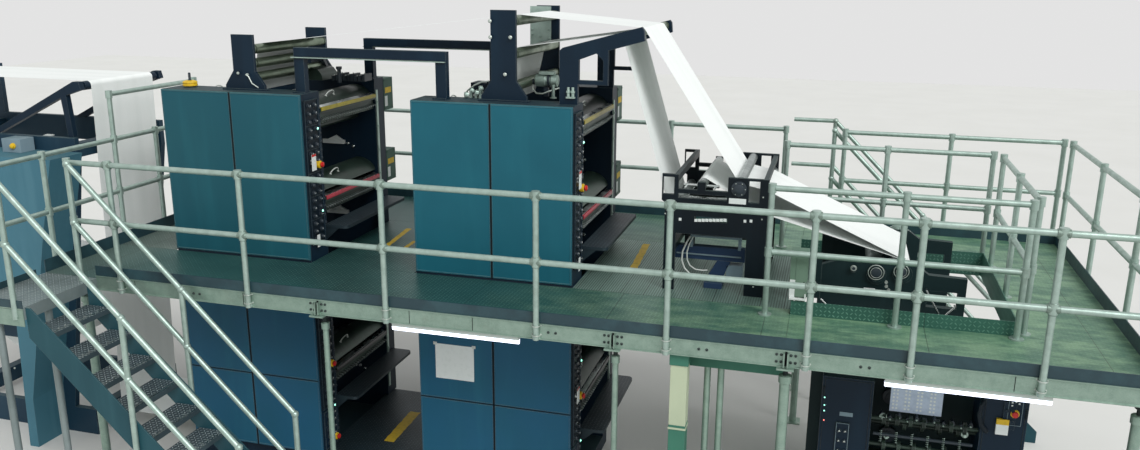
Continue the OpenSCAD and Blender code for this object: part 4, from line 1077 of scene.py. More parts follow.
beaconLamp = {"at": (-3.165, -0.60), "foot": 0.012, "disc": 0.07, "height": 0.05, "stem": 0.075,
              "shape": [(0, 1), (0.3, 1), (0.34, 0.93), (0.5, 0.93), (0.54, 1), (0.8, 0.95), (1, 0.6)]}


def beacon():  # low yellow lamp with a black stem on it, on the first tower
    x, y = beaconLamp["at"]
    r, h, foot, stem = (beaconLamp[key] for key in ("disc", "height", "foot", "stem"))
    cap = Piece("beaconCap", "stop yellow", "panel_black")
    cap.turned((x, y, towerTop + foot), upward,
               [(h * along, r * radius) for along, radius in beaconLamp["shape"]], 28)
    cap.finished(0.0008)
    black = Piece("beaconStem", "knob", "panel_black")
    black.turned((x, y, towerTop), upward, [(0, r * 0.8), (foot + 0.001, r * 0.8)], 24)
    black.turned((x, y, towerTop + foot + h * 0.9), upward,
                 [(0, 0.018), (0.012, 0.018), (0.014, 0.012), (stem, 0.012), (stem + 0.004, 0.008)], 18)
    black.finished()


brackets = {"second": [(-0.034, 4.587), (-0.032, 4.452), (0.150, 4.454), (0.098, 4.138)],
            "secondBolt": [(0, 0.016), (0.012, 0.016), (0.016, 0.010)],
            "first": [(-0.05, 4.06), (0.05, 4.05)], "firstBolt": [(0, 0.013), (0.010, 0.013), (0.013, 0.008)],
            "headLow": (-0.107, 0.634, 4.29), "headHigh": (0.109, 0.6405, 4.672),
            "headBolts": [(-0.085, 4.45), (-0.085, 4.40), (0.088, 4.45), (0.0, 4.38), (0.0, 4.33),
                          (0.088, 4.36)],
            "headBolt": [(0, 0.013), (0.008, 0.013), (0.011, 0.008)]}


def bracketBolts():  # bolts on both brackets, and the bare zinc head of the second one's far leg
    bolts = Piece("bracketBolts", "bolt zinc", "galvanised")
    firstLow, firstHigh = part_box("tower_1_brackets")
    secondLow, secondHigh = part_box("tower_2_brackets")
    firstMiddle = (firstLow.x + firstHigh.x) / 2
    for low, high, start, kind in ((secondLow, secondHigh, 0, "second"),
                                   (firstLow, firstHigh, firstMiddle, "first")):
        for y, out in ((low.y, -1), (high.y, 1)):
            for x, z in brackets[kind]:
                bolts.turned((start + x, y, z), (0, out, 0), brackets[kind + "Bolt"])
    bolts.finished()
    head = Piece("bracketHead", "galvanised")
    head.box(brackets["headLow"], brackets["headHigh"])
    for x, z in brackets["headBolts"]:
        head.turned((x, brackets["headLow"][1] + 0.002, z), toFront, brackets["headBolt"], 14)
    head.finished(0.001)


tie = {"drop": 0.085, "wide": 0.07, "end": 0.004, "front": -0.002, "rear": -0.068}


def tieLips():  # bare lower flanges of the beams between the towers
    lips = Piece("tieLips", "galvanised")
    low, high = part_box("tie_beams")
    bottom = high.z - tie["drop"]
    for y in (low.y + tie["front"], high.y + tie["rear"]):
        lips.box((low.x + tie["end"], y, bottom - 0.007),
                 (high.x - tie["end"], y + tie["wide"], bottom + 0.001))
    lips.finished(0.001)


tops = {  # what stands on the towers' caps
    "y": -0.20, "drum": [(0, 0.038), (0.012, 0.055), (0.10, 0.058), (0.11, 0.05), (0.15, 0.05),
                         (0.16, 0.058), (0.21, 0.055), (0.218, 0.03)],
    "taps": [(-0.34, 0.05), (-0.29, 0.09), (-0.24, 0.07), (-0.20, 0.11)],
    "tap": [(0, 0.012), (0.03, 0.012), (0.032, 0.02), (0.05, 0.02), (0.052, 0.01), (0.075, 0.01)],
    "tapLine": [(-0.36, -0.5, 0.02), (-0.31, -0.54, 0.07), (-0.24, -0.55, 0.12), (-0.17, -0.55, 0.15),
                (-0.10, -0.56, 0.16)],
    "drumLine": [(0.19, 0, 4.0), (0.2, -0.03, 3.96), (0.24, -0.05, 3.93), (0.30, -0.06, 3.93),
                 (0.38, -0.04, 3.96), (0.44, 0, 3.98)],
    "fittings": (0.665, 0.705),
    "fitting": [(0, 0.014), (0.03, 0.014), (0.032, 0.02), (0.05, 0.02), (0.052, 0.012), (0.08, 0.012)],
    "valves": 9, "valvePitch": 0.043, "valveStart": -2.17, "valveWide": 0.034,
    "cover": [(0, 0), (0.20, 0), (0.19, 0.06), (0.15, 0.11), (0.08, 0.13), (0, 0.12)],
    "hook": [(0, 0), (0.16, 0), (0.13, 0.10), (0.08, 0.20), (0, 0.24), (-0.06, 0.24), (-0.06, 0.16)],
    "valveLine": [(-2.3, -0.62, 0.008), (-2.36, -0.66, 0.02), (-2.41, -0.70, 0.07), (-2.44, -0.70, 0.13),
                  (-2.47, -0.70, 0.15)],
    "plug": [(0, 0.02), (0.13, 0.02), (0.132, 0.03), (0.16, 0.03)]}


def drumAndValves():  # motor drum, valve rack, fittings and bent lines on the towers' caps
    pale = Piece("topDrum", "galvanised")
    dark = Piece("topValves", "knob", "panel_black")
    olive = Piece("topCovers", "ink_metal")
    lines = Piece("topLines", "bolt zinc", "galvanised")
    y = tops["y"]
    pale.turned((0.215, y, 4.045), toRight, tops["drum"], 26)
    dark.turned((0.19, y, 4.03), toRight, [(0, 0.026), (0.03, 0.026)], 20)
    dark.turned((0.34, y, 4.045), toRight, [(0, 0.061), (0.02, 0.061)], 26)
    dark.box((0.30, y - 0.02, towerTop), (0.34, y + 0.02, 4.01))
    pale.box((0.26, y - 0.045, 4.10), (0.40, y + 0.03, 4.128))
    pale.turned((0.42, y - 0.12, towerTop), upward, [(0, 0.03), (0.01, 0.03), (0.012, 0.014), (0.12, 0.014)])
    for x, rise in tops["taps"]:
        pale.turned((x, -0.5, towerTop + rise - 0.03), (0.5, -1, 0.2), tops["tap"], 12)
        pale.box((x - 0.012, -0.53, towerTop), (x + 0.012, -0.49, towerTop + rise))
    lines.bent([(px, py, towerTop + rise) for px, py, rise in tops["tapLine"]], 0.007)
    lines.bent([(px, y + dy, pz) for px, dy, pz in tops["drumLine"]], 0.008)
    for x in tops["fittings"]:
        pale.turned((x, -0.69, 3.97), upward, tops["fitting"], 12)
    pale.box((0.645, -0.70, 3.955), (0.725, -0.68, 3.97))
    for k in range(tops["valves"]):
        x = tops["valveStart"] + k * tops["valvePitch"]
        z = towerTop + 0.05 + 0.012 * (k % 3)
        dark.box((x, 0.34, towerTop), (x + tops["valveWide"], 0.50, z))
        lines.turned((x + tops["valveWide"] / 2, 0.38, z), upward, [(0, 0.007), (0.01, 0.007)], 8)
    olive.prism(tops["cover"], (-2.45, 0.30, towerTop), -0.32)
    dark.prism(tops["hook"], (-2.46, 0.60, towerTop), 0.05)
    lines.bent([(px, py, towerTop + rise) for px, py, rise in tops["valveLine"]], 0.006)
    dark.turned((-2.0, 0.2, towerTop), upward, tops["plug"], 14)
    finishAll(0.001, pale, dark, olive)
    lines.finished()


guides = {"towerX": 0.895, "first": (0.38, 0.25, 0.12), "second": (0.69, 0.41, 0.13),
          "disc": [(0, 0.036), (0.016, 0.038), (0.02, 0.03)], "discY": 0.61,
          "journal": [(0, 0.0375), (0.03, 0.0385), (0.034, 0.03)], "journalY": 0.575,
          "collar": [(0, 0.04), (0.004, 0.0425), (0.04, 0.0425), (0.044, 0.04)], "collars": (-0.52, -0.36)}


def rollerEnds():  # black end discs, pale journals and brassy collars of the guide rollers
    discs = Piece("guideDiscs", "knob", "frame_navy")
    journals = Piece("guideJournals", "bolt zinc", "galvanised")
    rings = Piece("guideCollars", "brass", "roller_steel")
    for (low, _), rises in zip(towers, (guides["first"], guides["second"])):
        x = low.x + guides["towerX"]
        for rise in rises:
            z = towerTop + rise
            for side in (-1, 1):
                discs.turned((x, side * guides["discY"], z), (0, side, 0), guides["disc"], 22)
                journals.turned((x, side * guides["journalY"], z), (0, side, 0), guides["journal"], 22)
        for y in guides["collars"]:
            rings.turned((x, y, towerTop + rises[-1]), (0, 1, 0), guides["collar"], 22)
    finishAll(0, discs, journals, rings)


beacon()
bracketBolts()
tieLips()
drumAndValves()
rollerEnds()
print("bridges dressed")

turner = {"stripe": (2.058, 2.201, 3.118, 3.165), "tabs": 9, "tabStart": 1.775, "tabEnd": 2.051,
          "tabLow": 2.938, "tabTall": 0.025, "tabStep": 0.0025, "tabShare": 0.86,
          "patches": [(1.64, 2.95), (2.19, 2.975), (2.24, 2.98)], "patch": (0.022, 0.012),
          "hub": (2.137, 3.248), "hubShape": [(-0.002, 0.066), (0.010, 0.064), (0.012, 0.042), (0.026, 0.042),
                                              (0.030, 0.028), (0.032, 0.012)],
          "hubBolts": 6, "boltRing": 0.053, "hubBolt": 0.005,
          "frameBolts": [(2.34, 3.19), (2.34, 3.0), (1.52, 2.99), (2.30, 2.40)], "frameBolt": 0.006,
          "bars": [(1.61, 2.04, 3.118, 0.020), (1.65, 1.96, 3.23, 0.014), (1.66, 1.96, 3.01, 0.012)],
          "barY": -0.50, "barEnd": 0.03, "barArm": 0.009}


def turnerStrips():  # bare strips and tabs on the front of the turner frame
    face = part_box("turner_frame")[0].y
    strips = Piece("turnerStrips", "label", "panel_black")
    x0, x1, z0, z1 = turner["stripe"]
    strips.box((x0, face - 0.002, z0), (x1, face + 0.001, z1))
    width = (turner["tabEnd"] - turner["tabStart"]) / turner["tabs"]
    for k in range(turner["tabs"]):
        x, z = turner["tabStart"] + k * width, turner["tabLow"] + turner["tabStep"] * k
        strips.box((x, face - 0.003, z),
                   (x + width * turner["tabShare"], face + 0.001, z + turner["tabTall"]))
    wide, half = turner["patch"]
    for x, z in turner["patches"]:
        strips.box((x, face - 0.004, z - half), (x + wide, face + 0.001, z + half))
    strips.finished()


def turnerHubs():  # a hub with its ring of bolts on both sides of the frame
    low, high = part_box("turner_frame")
    hubs = Piece("turnerHubs", "knob", "turner_black")
    bolts = Piece("turnerBolts", "bolt zinc", "galvanised")
    x, z = turner["hub"]
    ring = turner["boltRing"]
    for y, out in ((low.y, -1), (high.y, 1)):
        hubs.turned((x, y, z), (0, out, 0), turner["hubShape"], 28)
        for t in around(turner["hubBolts"]):
            bolts.bolt((x + ring * math.cos(t), y + out * 0.009, z + ring * math.sin(t)), (0, out, 0),
                       turner["hubBolt"])
        for boltX, boltZ in turner["frameBolts"]:
            bolts.bolt((boltX, y, boltZ), (0, out, 0), turner["frameBolt"])
    hubs.finished(0.0008)
    bolts.finished()


def turnerBars():  # bright bars across the frame, on arms from its front side
    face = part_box("turner_frame")[0].y
    bars = Piece("turnerBars", "polished", "roller_steel")
    y = turner["barY"]
    for start, end, z, r in turner["bars"]:
        bars.rod((start, y, z), (end, y, z), r, 14)
        for x in (start + turner["barEnd"], end - turner["barEnd"]):
            bars.rod((x, y, z), (x, face + 0.02, z), turner["barArm"], 10)
    bars.finished()


servo = {"beam": [((1.575, -0.42, 2.545), (2.20, -0.34, 2.665)), ((1.86, -0.50, 2.31), (2.02, -0.33, 2.362))],
         "neck": [(0, 0), (0.14, 0), (0.22, 0.19), (0.10, 0.19)], "neckAt": (1.862, -0.43, 2.36),
         "neckDeep": 0.07, "box": ((2.045, -0.43, 2.40), (2.185, -0.33, 2.515)),
         "shelf": ((1.72, -0.44, 2.752), (2.165, -0.35, 2.770)),
         "trim": ((1.60, -0.435, 2.588), (2.17, -0.42, 2.600)), "legs": (1.73, 2.15), "leg": 0.012,
         "thickHose": [(1.735, -0.40, 2.765), (1.72, -0.44, 2.75), (1.69, -0.46, 2.70), (1.66, -0.47, 2.62),
                       (1.655, -0.47, 2.54), (1.68, -0.47, 2.47), (1.73, -0.47, 2.42), (1.80, -0.46, 2.395),
                       (1.87, -0.44, 2.40)],
         "thinHose": [(1.755, -0.40, 2.765), (1.745, -0.45, 2.75), (1.72, -0.47, 2.70), (1.70, -0.48, 2.62),
                      (1.705, -0.48, 2.55), (1.73, -0.48, 2.50), (1.78, -0.47, 2.465), (1.84, -0.45, 2.455),
                      (1.88, -0.43, 2.455)]}


def turnerServo():  # the servo beam inside the frame, its grey box and shelf, and two hoses
    beam = Piece("turnerServo", "servo blue", "turner_black")
    for low, high in servo["beam"]:
        beam.box(low, high)
    beam.prism(servo["neck"], servo["neckAt"], -servo["neckDeep"])
    beam.finished(0.003)
    pale = Piece("turnerBox", "box grey", "turner_black")
    for part in ("box", "shelf", "trim"):
        pale.box(*servo[part])
    for x in servo["legs"]:
        pale.box((x - servo["leg"], -0.43, 2.655), (x + servo["leg"], -0.36, 2.755))
    pale.finished(0.002)
    hoses = Piece("turnerHoses", "pale plastic", "panel_black")
    hoses.bent(servo["thickHose"], 0.008)
    hoses.bent(servo["thinHose"], 0.006)
    hoses.finished()


folder = {"strips": [(2.834, 3.043, 2.474), (3.05, 3.184, 2.470), (3.20, 3.29, 2.484), (3.21, 3.31, 2.462),
                     (3.444, 3.55, 2.468), (3.56, 3.63, 2.47)], "stripHalf": 0.006,
          "bosses": [(3.287, 2.630, 0.062), (3.482, 2.655, 0.058), (3.108, 2.650, 0.022)],
          "rim": 0.0035, "innerRimHighlight": 0.0022, "innerShare": 0.70,
          "knobs": [(3.371, 2.560), (3.375, 2.525), (3.395, 2.495)],
          "knob": [(0, 0.010), (0.018, 0.010), (0.022, 0.014), (0.034, 0.012)],
          "covers": [(x, z) for x in (3.15, 3.5) for z in (1.55, 1.9, 1.2)],
          "cover": [(0, 0.07), (0.01, 0.068), (0.012, 0.04), (0.02, 0.038)],
          "guard": [(3.686, -0.01, 2.524), (3.686, 0.035, 2.524), (3.72, 0.045, 2.465), (3.816, 0.045, 2.302),
                    (3.83, 0.045, 2.310), (3.912, 0.035, 2.403), (3.912, -0.01, 2.403)], "guardBar": 0.007,
          "stay": [(2.865, 2.362), (2.935, 2.295)], "stayBar": 0.006}


def bossRimHighlight(piece, x, y, z, radius, wide):  # pale round bar along the rim of a bearing cover, painted as its highlight
    piece.bent([(x + radius * math.cos(t), y, z + radius * math.sin(t)) for t in around(40) + [2 * math.pi]],
               wide, 8)


def folderFront():  # pale rim bars painted as the highlights of the bearing covers, and covers, bare strips, knobs and guard handle
    low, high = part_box("folder_sides")
    rims = Piece("folderRimHighlights", "bolt zinc", "roller_steel")
    caps = Piece("folderCaps", "knob", "frame_navy")
    strips = Piece("folderStrips", "label", "panel_black")
    share = folder["innerShare"]
    for face, out in ((low.y, -1), (high.y, 1)):
        for x, z, r in folder["bosses"]:
            # pale bars round each cover and its inner ring: painted highlights
            bossRimHighlight(rims, x, face + out * 0.004, z, r, folder["rim"])
            caps.turned((x, face, z), (0, out, 0),
                        [(-0.004, r * 0.72), (0.012, r * share), (0.016, r * 0.55)], 28)
            bossRimHighlight(rims, x, face + out * 0.014, z, r * share, folder["innerRimHighlight"])
        for x, z in folder["knobs"]:
            rims.turned((x, face, z), (0, out, 0), folder["knob"], 14)
    half = folder["stripHalf"]
    for start, end, z in folder["strips"]:
        strips.box((start, low.y - 0.003, z - half), (end, low.y + 0.001, z + half))
    for x, z in folder["covers"]:
        caps.turned((x, low.y, z), toFront, folder["cover"], 24)
    handle = Piece("folderGuardBar", "polished", "roller_steel")
    handle.bent([(x, low.y - out, z) for x, out, z in folder["guard"]], folder["guardBar"])
    start, end = [(x, low.y - 0.006, z) for x, z in folder["stay"]]
    handle.rod(start, end, folder["stayBar"])
    return rims, caps, strips, handle


nip = {"y": 0.60, "thick": 0.022, "shaft": 0.012,
       "gears": [(3.50, 2.70, 0.055, 18), (3.585, 2.655, 0.05, 16), (3.655, 2.585, 0.06, 20),
                 (3.70, 2.49, 0.045, 14), (3.60, 2.53, 0.035, 12), (3.66, 2.42, 0.04, 14)],
       "caps": [(3.53, 2.63), (3.62, 2.45), (3.74, 2.56)], "cap": [(0, 0.024), (0.05, 0.024)]}


def gearWheel(piece, x, y, z, radius, teeth, thick):
    outline = []
    for k in range(teeth * 4):
        r = radius if k % 4 in (0, 1) else radius * 0.88
        t = 2 * math.pi * k / (teeth * 4)
        outline.append((r * math.cos(t), r * math.sin(t)))
    piece.prism(outline, (x, y, z), thick)
    piece.turned((x, y - thick, z), toFront, [(0, radius * 0.35), (0.012, radius * 0.33)])


def folderParts():  # the front of the folder, and the gears and roller caps beside its web nip
    rims, caps, strips, handle = folderFront()
    gears = Piece("nipGears", "galvanised", "roller_steel")
    y = nip["y"]
    for x, z, r, teeth in nip["gears"]:
        gearWheel(gears, x, y - 0.02, z, r, teeth, nip["thick"])
        gears.rod((x, y - 0.02, z), (x, y + 0.01, z), nip["shaft"])
    for x, z in nip["caps"]:
        caps.turned((x, y - 0.045, z), (0, 1, 0), nip["cap"])
    finishAll(0, rims, caps, strips, handle)
    gears.finished(0.0008)


pitBox = {"low": (2.612, -0.952, 2.452), "high": (2.752, -0.80, 2.835)}


def pitSideBox():  # terminal box clamped to the toe plate of the pit, left of the folder
    x0, y, z0 = pitBox["low"]
    x1, _, z1 = pitBox["high"]
    box = Piece("pitTerminalBox", "pit box", "edge_steel")
    box.box(pitBox["low"], pitBox["high"])
    box.box((x0 + 0.045, y - 0.004, z0 + 0.01), (x1 - 0.008, y + 0.002, z1 - 0.01))
    for x in (x0 + 0.05, x1 - 0.04):
        box.box((x, y, deckTop - 0.02), (x + 0.03, y + 0.03, z0 + 0.01))
    box.finished(0.002)
    lip = Piece("pitBoxLip", "label", "panel_black")
    lip.box((x0 + 0.004, y - 0.03, z0 - 0.012), (x1 - 0.004, y + 0.02, z0 + 0.002))
    lip.box((x1 - 0.016, y - 0.03, z0), (x1 - 0.004, y - 0.024, z0 + 0.045))
    lip.box((x0 + 0.002, y - 0.002, z0 + 0.004), (x0 + 0.046, y + 0.01, z0 + 0.15))
    lip.finished(0.001)
    slot = Piece("pitBoxSlot", "cavity", "panel_black")
    slot.box((x1 - 0.03, y - 0.0055, z0 + 0.09), (x1 - 0.022, y - 0.003, z0 + 0.14))
    slot.turned((x0 + 0.07, y - 0.003, z1 - 0.03), toFront, [(0, 0.006), (0.004, 0.006)], 12)
    slot.finished()


cabinets = {"y": -1.02, "left": (2.935, 3.335, 1.83), "right": (4.155, 4.485, 1.85),  # left, right, top
            "plate": (4.262, 4.352, 1.515, 1.60, 1.645), "rim": (3.086, 3.190, 1.497, 1.532),
            "strip": (3.069, 0.865, 3.166, 1.436), "window": (4.336, 1.60, 4.437, 1.82),
            "buttonRows": 6, "buttonColumns": (3.0944, 3.1406), "buttonFoot": 0.86, "buttonPitch": 0.08923,
            "upright": [(-0.009, -0.007), (0.009, -0.007), (0, 0.010)],
            "tilted": [(-0.008, -0.008), (0.008, -0.002), (0, 0.009)],
            "tags": [(4.36, 1.79), (4.36, 1.765), (4.385, 1.80), (4.41, 1.785)], "tag": (0.006, 0.005),
            "lamps": [(2.958, 1.645), (2.961, 1.577), (2.963, 1.527)], "redLamp": (2.966, 1.443),
            "bezel": [(0, 0.010), (0.005, 0.010), (0.007, 0.008)],
            "lens": [(0, 0.006), (0.003, 0.006), (0.006, 0.003)],
            "stop": (4.387, 1.697), "stopRing": [(0, 0.034), (0.016, 0.033), (0.02, 0.028)],
            "stopHead": [(0, 0.014), (0.01, 0.014), (0.011, 0.025), (0.02, 0.023), (0.026, 0.012)],
            "hinges": (0.35, 1.1, 1.7), "hinge": 0.009, "doors": (0.09, 0.86, 0.88), "seam": 0.003,
            "cord": [(4.17, 0.02, 1.78), (4.14, -0.02, 1.74), (4.13, -0.03, 1.66), (4.15, -0.03, 1.58),
                     (4.2, -0.02, 1.52)], "cordRadius": 0.018}


def cabinetFront():  # lamps, button strip, bare plates, hinges and stop button on the folder's cabinets
    y = cabinets["y"]
    labels = Piece("cabinetLabels", "label", "panel_black")
    x0, x1, z0, z1, bandTop = cabinets["plate"]
    labels.box((x0, y - 0.0275, z0), (x1, y + 0.001, z1))
    wide, tall = cabinets["tag"]
    for x, z in cabinets["tags"]:
        labels.box((x - wide, y - 0.016, z - tall), (x + wide, y + 0.001, z + tall))
    warning = Piece("cabinetBand", "stop yellow", "panel_black")
    warning.box((x0, y - 0.0275, z1), (x1, y + 0.001, bandTop))
    rims = Piece("cabinetRims", "box grey", "panel_black")
    x0, x1, z0, z1 = cabinets["rim"]
    rims.box((x0, y - 0.003, z0), (x1, y + 0.001, z1))
    rims.border(y - 0.015, *cabinets["strip"], 0.0022)
    rims.border(y - 0.015, *cabinets["window"], 0.002)
    arrows = Piece("cabinetButtons", "pale plastic", "panel_black")
    for row in range(cabinets["buttonRows"]):
        for k, x in enumerate(cabinets["buttonColumns"]):
            z = cabinets["buttonFoot"] + (row + 0.75) * cabinets["buttonPitch"]
            outline = cabinets["upright" if (row + k) % 2 else "tilted"]
            arrows.prism(outline, (x, y - 0.0252, z), 0.003)
    finishAll(0, rims, arrows, labels, warning)
    lamps = Piece("cabinetLamps", "lens", "lamp")
    red = Piece("cabinetRedLamp", "lens red", "lamp")
    bezels = Piece("cabinetBezels", "knob", "panel_black")
    for piece, places in ((lamps, cabinets["lamps"]), (red, [cabinets["redLamp"]])):
        for x, z in places:
            bezels.turned((x, y, z), toFront, cabinets["bezel"])
            piece.turned((x, y - 0.006, z), toFront, cabinets["lens"], 12)
    finishAll(0, lamps, red, bezels)
    stop = Piece("cabinetStop", "stop red", "panel_black")
    ring = Piece("cabinetStopRing", "stop yellow", "panel_black")
    x, z = cabinets["stop"]
    ring.turned((x, y, z), toFront, cabinets["stopRing"], 24)
    stop.turned((x, y - 0.018, z), toFront, cabinets["stopHead"], 24)
    finishAll(0, ring, stop)


def cabinetSeams():  # hinges, the round seams of the doors and the cord beside the right cabinet
    y = cabinets["y"]
    left, right = cabinets["left"], cabinets["right"]
    seams = Piece("cabinetHinges", "panel_black", "frame_navy")
    for x in (left[0] + 0.012, right[1] - 0.012):
        for z in cabinets["hinges"]:
            seams.rod((x, y - 0.006, z - 0.04), (x, y - 0.006, z + 0.04), cabinets["hinge"])
    foot, split, above = cabinets["doors"]
    for start, end, top in (left, right):
        for low, high in ((foot, split), (above, top - 0.02)):
            seams.border(y, start + 0.02, low, end - 0.02, high, cabinets["seam"])
    seams.bent([(x, y + dy, z) for x, dy, z in cabinets["cord"]], cabinets["cordRadius"])
    seams.finished()


delivery = {"sheet": (3.475, 3.875, 1.54, 1.82), "y": -0.90, "columns": [3.514, 3.607, 3.70, 3.80],
            "holes": 7, "holeApart": 0.014, "hole": [(0, 0.0095), (0.0015, 0.009)],
            "clamps": 11, "clampStart": 3.40, "clampPitch": 0.068,
            "clamp": [(0, 0), (0.03, 0), (0.036, 0.03), (0.02, 0.055), (0.004, 0.04)],
            "screw": [(0, 0.008), (0.012, 0.008), (0.016, 0.004)],
            "wheels": [(3.43, 1.50, 0.03), (4.06, 1.43, 0.028), (3.47, 1.33, 0.022)],
            "springs": 6, "springStart": 3.42, "springPitch": 0.12, "springRadius": 0.009,
            "springWire": 0.0022, "springRise": 0.0028,
            "bars": (1.365, 1.175), "barEnds": (3.36, 4.12), "bar": 0.014,
            "blocks": 8, "blockStart": 3.40, "blockPitch": 0.09}


def guardSheet():  # pale blue sheet, with discs that stand for its paired holes
    x0, x1, z0, z1 = delivery["sheet"]
    y = delivery["y"]
    sheet = Piece("guardSheet", "guard sheet", "panel_black")
    sheet.box((x0, y - 0.0035, z0), (x1, y - 0.0005, z1 - 0.004))
    sheet.finished()
    dots = Piece("guardHoles", "label", "panel_black")
    for x in delivery["columns"]:
        for k in range(delivery["holes"]):
            z = z0 + 0.03 + k * (z1 - z0 - 0.06) / delivery["holes"]
            for side in (-1, 1):
                dots.turned((x + side * delivery["holeApart"], y - 0.003, z), toFront, delivery["hole"], 10)
    dots.finished()


def deliveryParts():  # grippers, clamps, wheels, springs and blocks over the belts
    y = delivery["y"]
    grips = Piece("deliveryGrips", "galvanised", "roller_steel")
    clamps = Piece("deliveryClamps", "knob", "ink_metal")
    for k in range(delivery["clamps"]):
        x = delivery["clampStart"] + k * delivery["clampPitch"]
        z = 1.485 - 0.02 * (k % 2)
        clamps.prism(delivery["clamp"], (x, y - 0.05, z), -0.05)
        grips.turned((x + 0.015, y - 0.055, z + 0.026), toFront, delivery["screw"], 10)
    for x, z, r in delivery["wheels"]:
        grips.turned((x, y - 0.03, z), toFront, [(0, r), (0.02, r), (0.024, r * 0.5), (0.05, r * 0.45)], 18)
    r, rise = delivery["springRadius"], delivery["springRise"]
    for k in range(delivery["springs"]):
        x = delivery["springStart"] + k * delivery["springPitch"]
        coil = [(x + r * math.cos(t), y - 0.10 + r * math.sin(t), 1.30 + rise * t)
                for t in (math.pi * j / 5 for j in range(60))]
        grips.bent(coil, delivery["springWire"], 6)
    start, end = delivery["barEnds"]
    for z in delivery["bars"]:
        clamps.rod((start, y - 0.09, z), (end, y - 0.09, z), delivery["bar"])
    for k in range(delivery["blocks"]):
        x = delivery["blockStart"] + k * delivery["blockPitch"]
        clamps.box((x, y - 0.12, 1.06), (x + 0.03, y - 0.02, 1.075 + 0.05 * (k % 3)))
        grips.box((x + 0.035, y - 0.16, 1.041), (x + 0.062, y + 0.10, 1.047))
    grips.finished()
    clamps.finished(0.001)


turnerStrips()
turnerHubs()
turnerBars()
turnerServo()
folderParts()
pitSideBox()
cabinetFront()
cabinetSeams()
guardSheet()
deliveryParts()
print("turner and folder dressed")

stand = {"edgeStart": 0.9, "edgeEnd": -4.80, "tray": [(0, 0), (0.10, 0), (0.34, -0.62), (0.20, -0.62)],
         "trayAt": (-5.60, 0.05, 3.20), "armStart": (-5.60, 3.345), "armEnd": (-4.60, 3.86),
         "arms": (-0.618, 0.585), "armEdge": 0.006,
         "boxLow": (-5.26, -0.88, 3.19), "boxHigh": (-5.03, -0.70, 3.33),
         "button": [(0, 0.03), (0.012, 0.03), (0.014, 0.022), (0.03, 0.021), (0.034, 0.014)],
         "screws": [(x, z) for x in (0.55, 1.25) for z in (0.9, 1.5, 2.1, 2.7)], "screw": 0.009,
         "seam": (0.52, 1.55, 1.6, 1.615)}


def standTable():  # pale edge strip of the table, tray on it, bare upper edges of the web arms
    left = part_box("stand_cabinet")[0].x
    pale = Piece("standPaleEdges", "label", "stand_blue")
    pale.box((left + stand["edgeStart"], -0.668, 3.192), (stand["edgeEnd"], -0.655, 3.204))
    pale.prism(stand["tray"], stand["trayAt"], 0.012, up=(0, 1, 0))
    pale.finished(0.001)
    edges = Piece("armEdges", "box grey", "frame_navy")
    x, z = stand["armStart"]
    length, climb = stand["armEnd"][0] - x, stand["armEnd"][1] - z
    thick = stand["armEdge"]
    for y in stand["arms"]:
        edges.prism([(0, 0), (length, climb), (length, climb + thick), (0, thick)], (x, y, z), -0.03)
    edges.finished()


def switchBox():  # grey box with a yellow button on the stand's table
    low, high = stand["boxLow"], stand["boxHigh"]
    box = Piece("standSwitchBox", "box grey", "stand_blue")
    box.box(low, high)
    box.finished(0.004, 3)
    button = Piece("standButton", "stop yellow", "panel_black")
    button.turned(((low[0] + high[0]) / 2 + 0.03, low[1], (low[2] + high[2]) / 2), toFront,
                  stand["button"], 24)
    button.finished()


def standCovers():  # bolts and a cover seam on the front panel
    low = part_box("stand_cabinet")[0]
    screws = Piece("standScrews", "bolt zinc", "galvanised")
    seams = Piece("standSeams", "box grey", "stand_blue")
    for x, z in stand["screws"]:
        screws.bolt((low.x + x, low.y, z), toFront, stand["screw"])
    start, end, z0, z1 = stand["seam"]
    seams.box((low.x + start, low.y - 0.004, z0), (low.x + end, low.y + 0.001, z1))
    seams.finished(0.001)
    screws.finished()


standTable()
switchBox()
standCovers()
print("reel stand dressed")

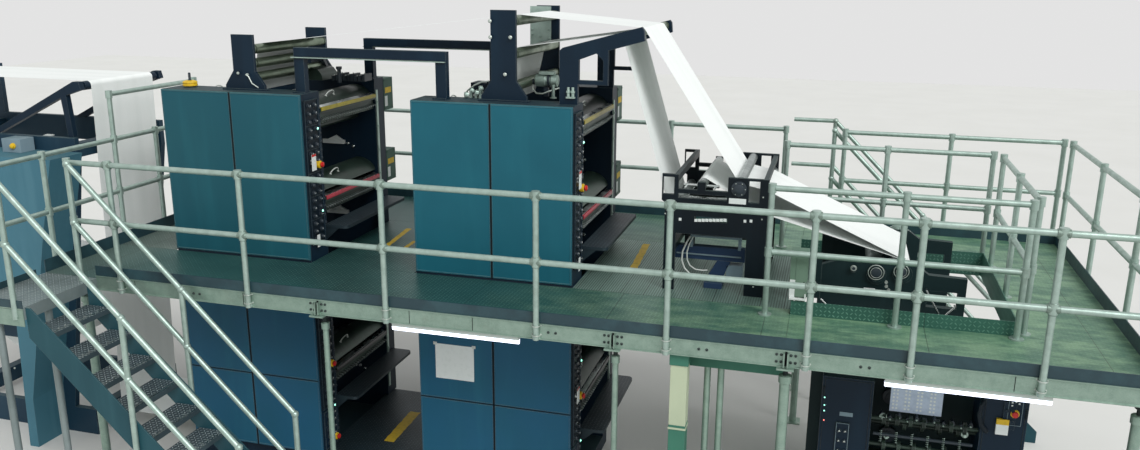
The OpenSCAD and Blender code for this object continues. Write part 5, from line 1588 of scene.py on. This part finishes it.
studio = {"floor": 40.0, "floorColour": "#dfe0dd", "floorShade": "#d5d6d2", "fill": 0.60, "backdrop": 0.77,
          "lamps": {"key": (1.35, (-0.42, 0.56, -0.71)), "side": (1.0, (-0.72, 0.48, -0.50))},
          "lampAngle": 0.5, "lens": 29.91, "sensor": 36.0, "sight": 200, "eye": (2.871, -8.463, 4.987),
          "turn": 15.687, "down": 14.891, "roll": 0.391}


def buildFloor():
    half = studio["floor"]
    mesh = bpy.data.meshes.new("floor")
    mesh.from_pydata([(-half, -half, 0), (half, -half, 0), (half, half, 0), (-half, half, 0)], [],
                     [(0, 1, 2, 3)])
    floor = linked("floor", mesh)
    ground = Finish("paleFloor", Roughness=0.9)
    cloud = ground.grain(0.6)
    ground.give(Base_Color=ground.mix(cloud, colour(studio["floorColour"]), colour(studio["floorShade"])))
    mesh.materials.append(ground.material)


def buildLight():  # even fill light, a brighter backdrop for the camera, and sun lamps
    world = bpy.data.worlds.new("studio")
    bpy.context.scene.world = world
    world.use_nodes = True
    air = Maker(world.node_tree)

    def ray(kind):
        return air.node("LightPath", output=f"Is {kind} Ray")

    seen = ray("Camera").math("MAXIMUM", ray("Transmission")).math("MAXIMUM", ray("Glossy"))
    level = air.node("MapRange", inputs={"Value": seen, "To Min": studio["fill"],
                                         "To Max": studio["backdrop"]})
    air.fill(air.tree.nodes["Background"], {"Color": (1, 1, 1, 1), "Strength": level})
    for name, (strength, towards) in studio["lamps"].items():
        lamp = bpy.data.lights.new(name, "SUN")
        lamp.energy = strength
        lamp.angle = studio["lampAngle"]
        holder = linked(name, lamp)
        holder.rotation_euler = Vector(towards).to_track_quat("-Z", "Y").to_euler()


def buildCamera():
    data = bpy.data.cameras.new("camera")
    data.lens = studio["lens"]
    data.sensor_width = studio["sensor"]
    data.clip_end = studio["sight"]
    camera = linked("camera", data)
    camera.matrix_world = (Matrix.Translation(studio["eye"])
                           @ Matrix.Rotation(math.radians(studio["turn"]), 4, "Z")
                           @ Matrix.Rotation(math.radians(90 - studio["down"]), 4, "X")
                           @ Matrix.Rotation(math.radians(studio["roll"]), 4, "Z"))
    bpy.context.scene.camera = camera
    bpy.context.scene.view_settings.view_transform = "Standard"


buildFloor()
buildLight()
buildCamera()
print("studio ready")
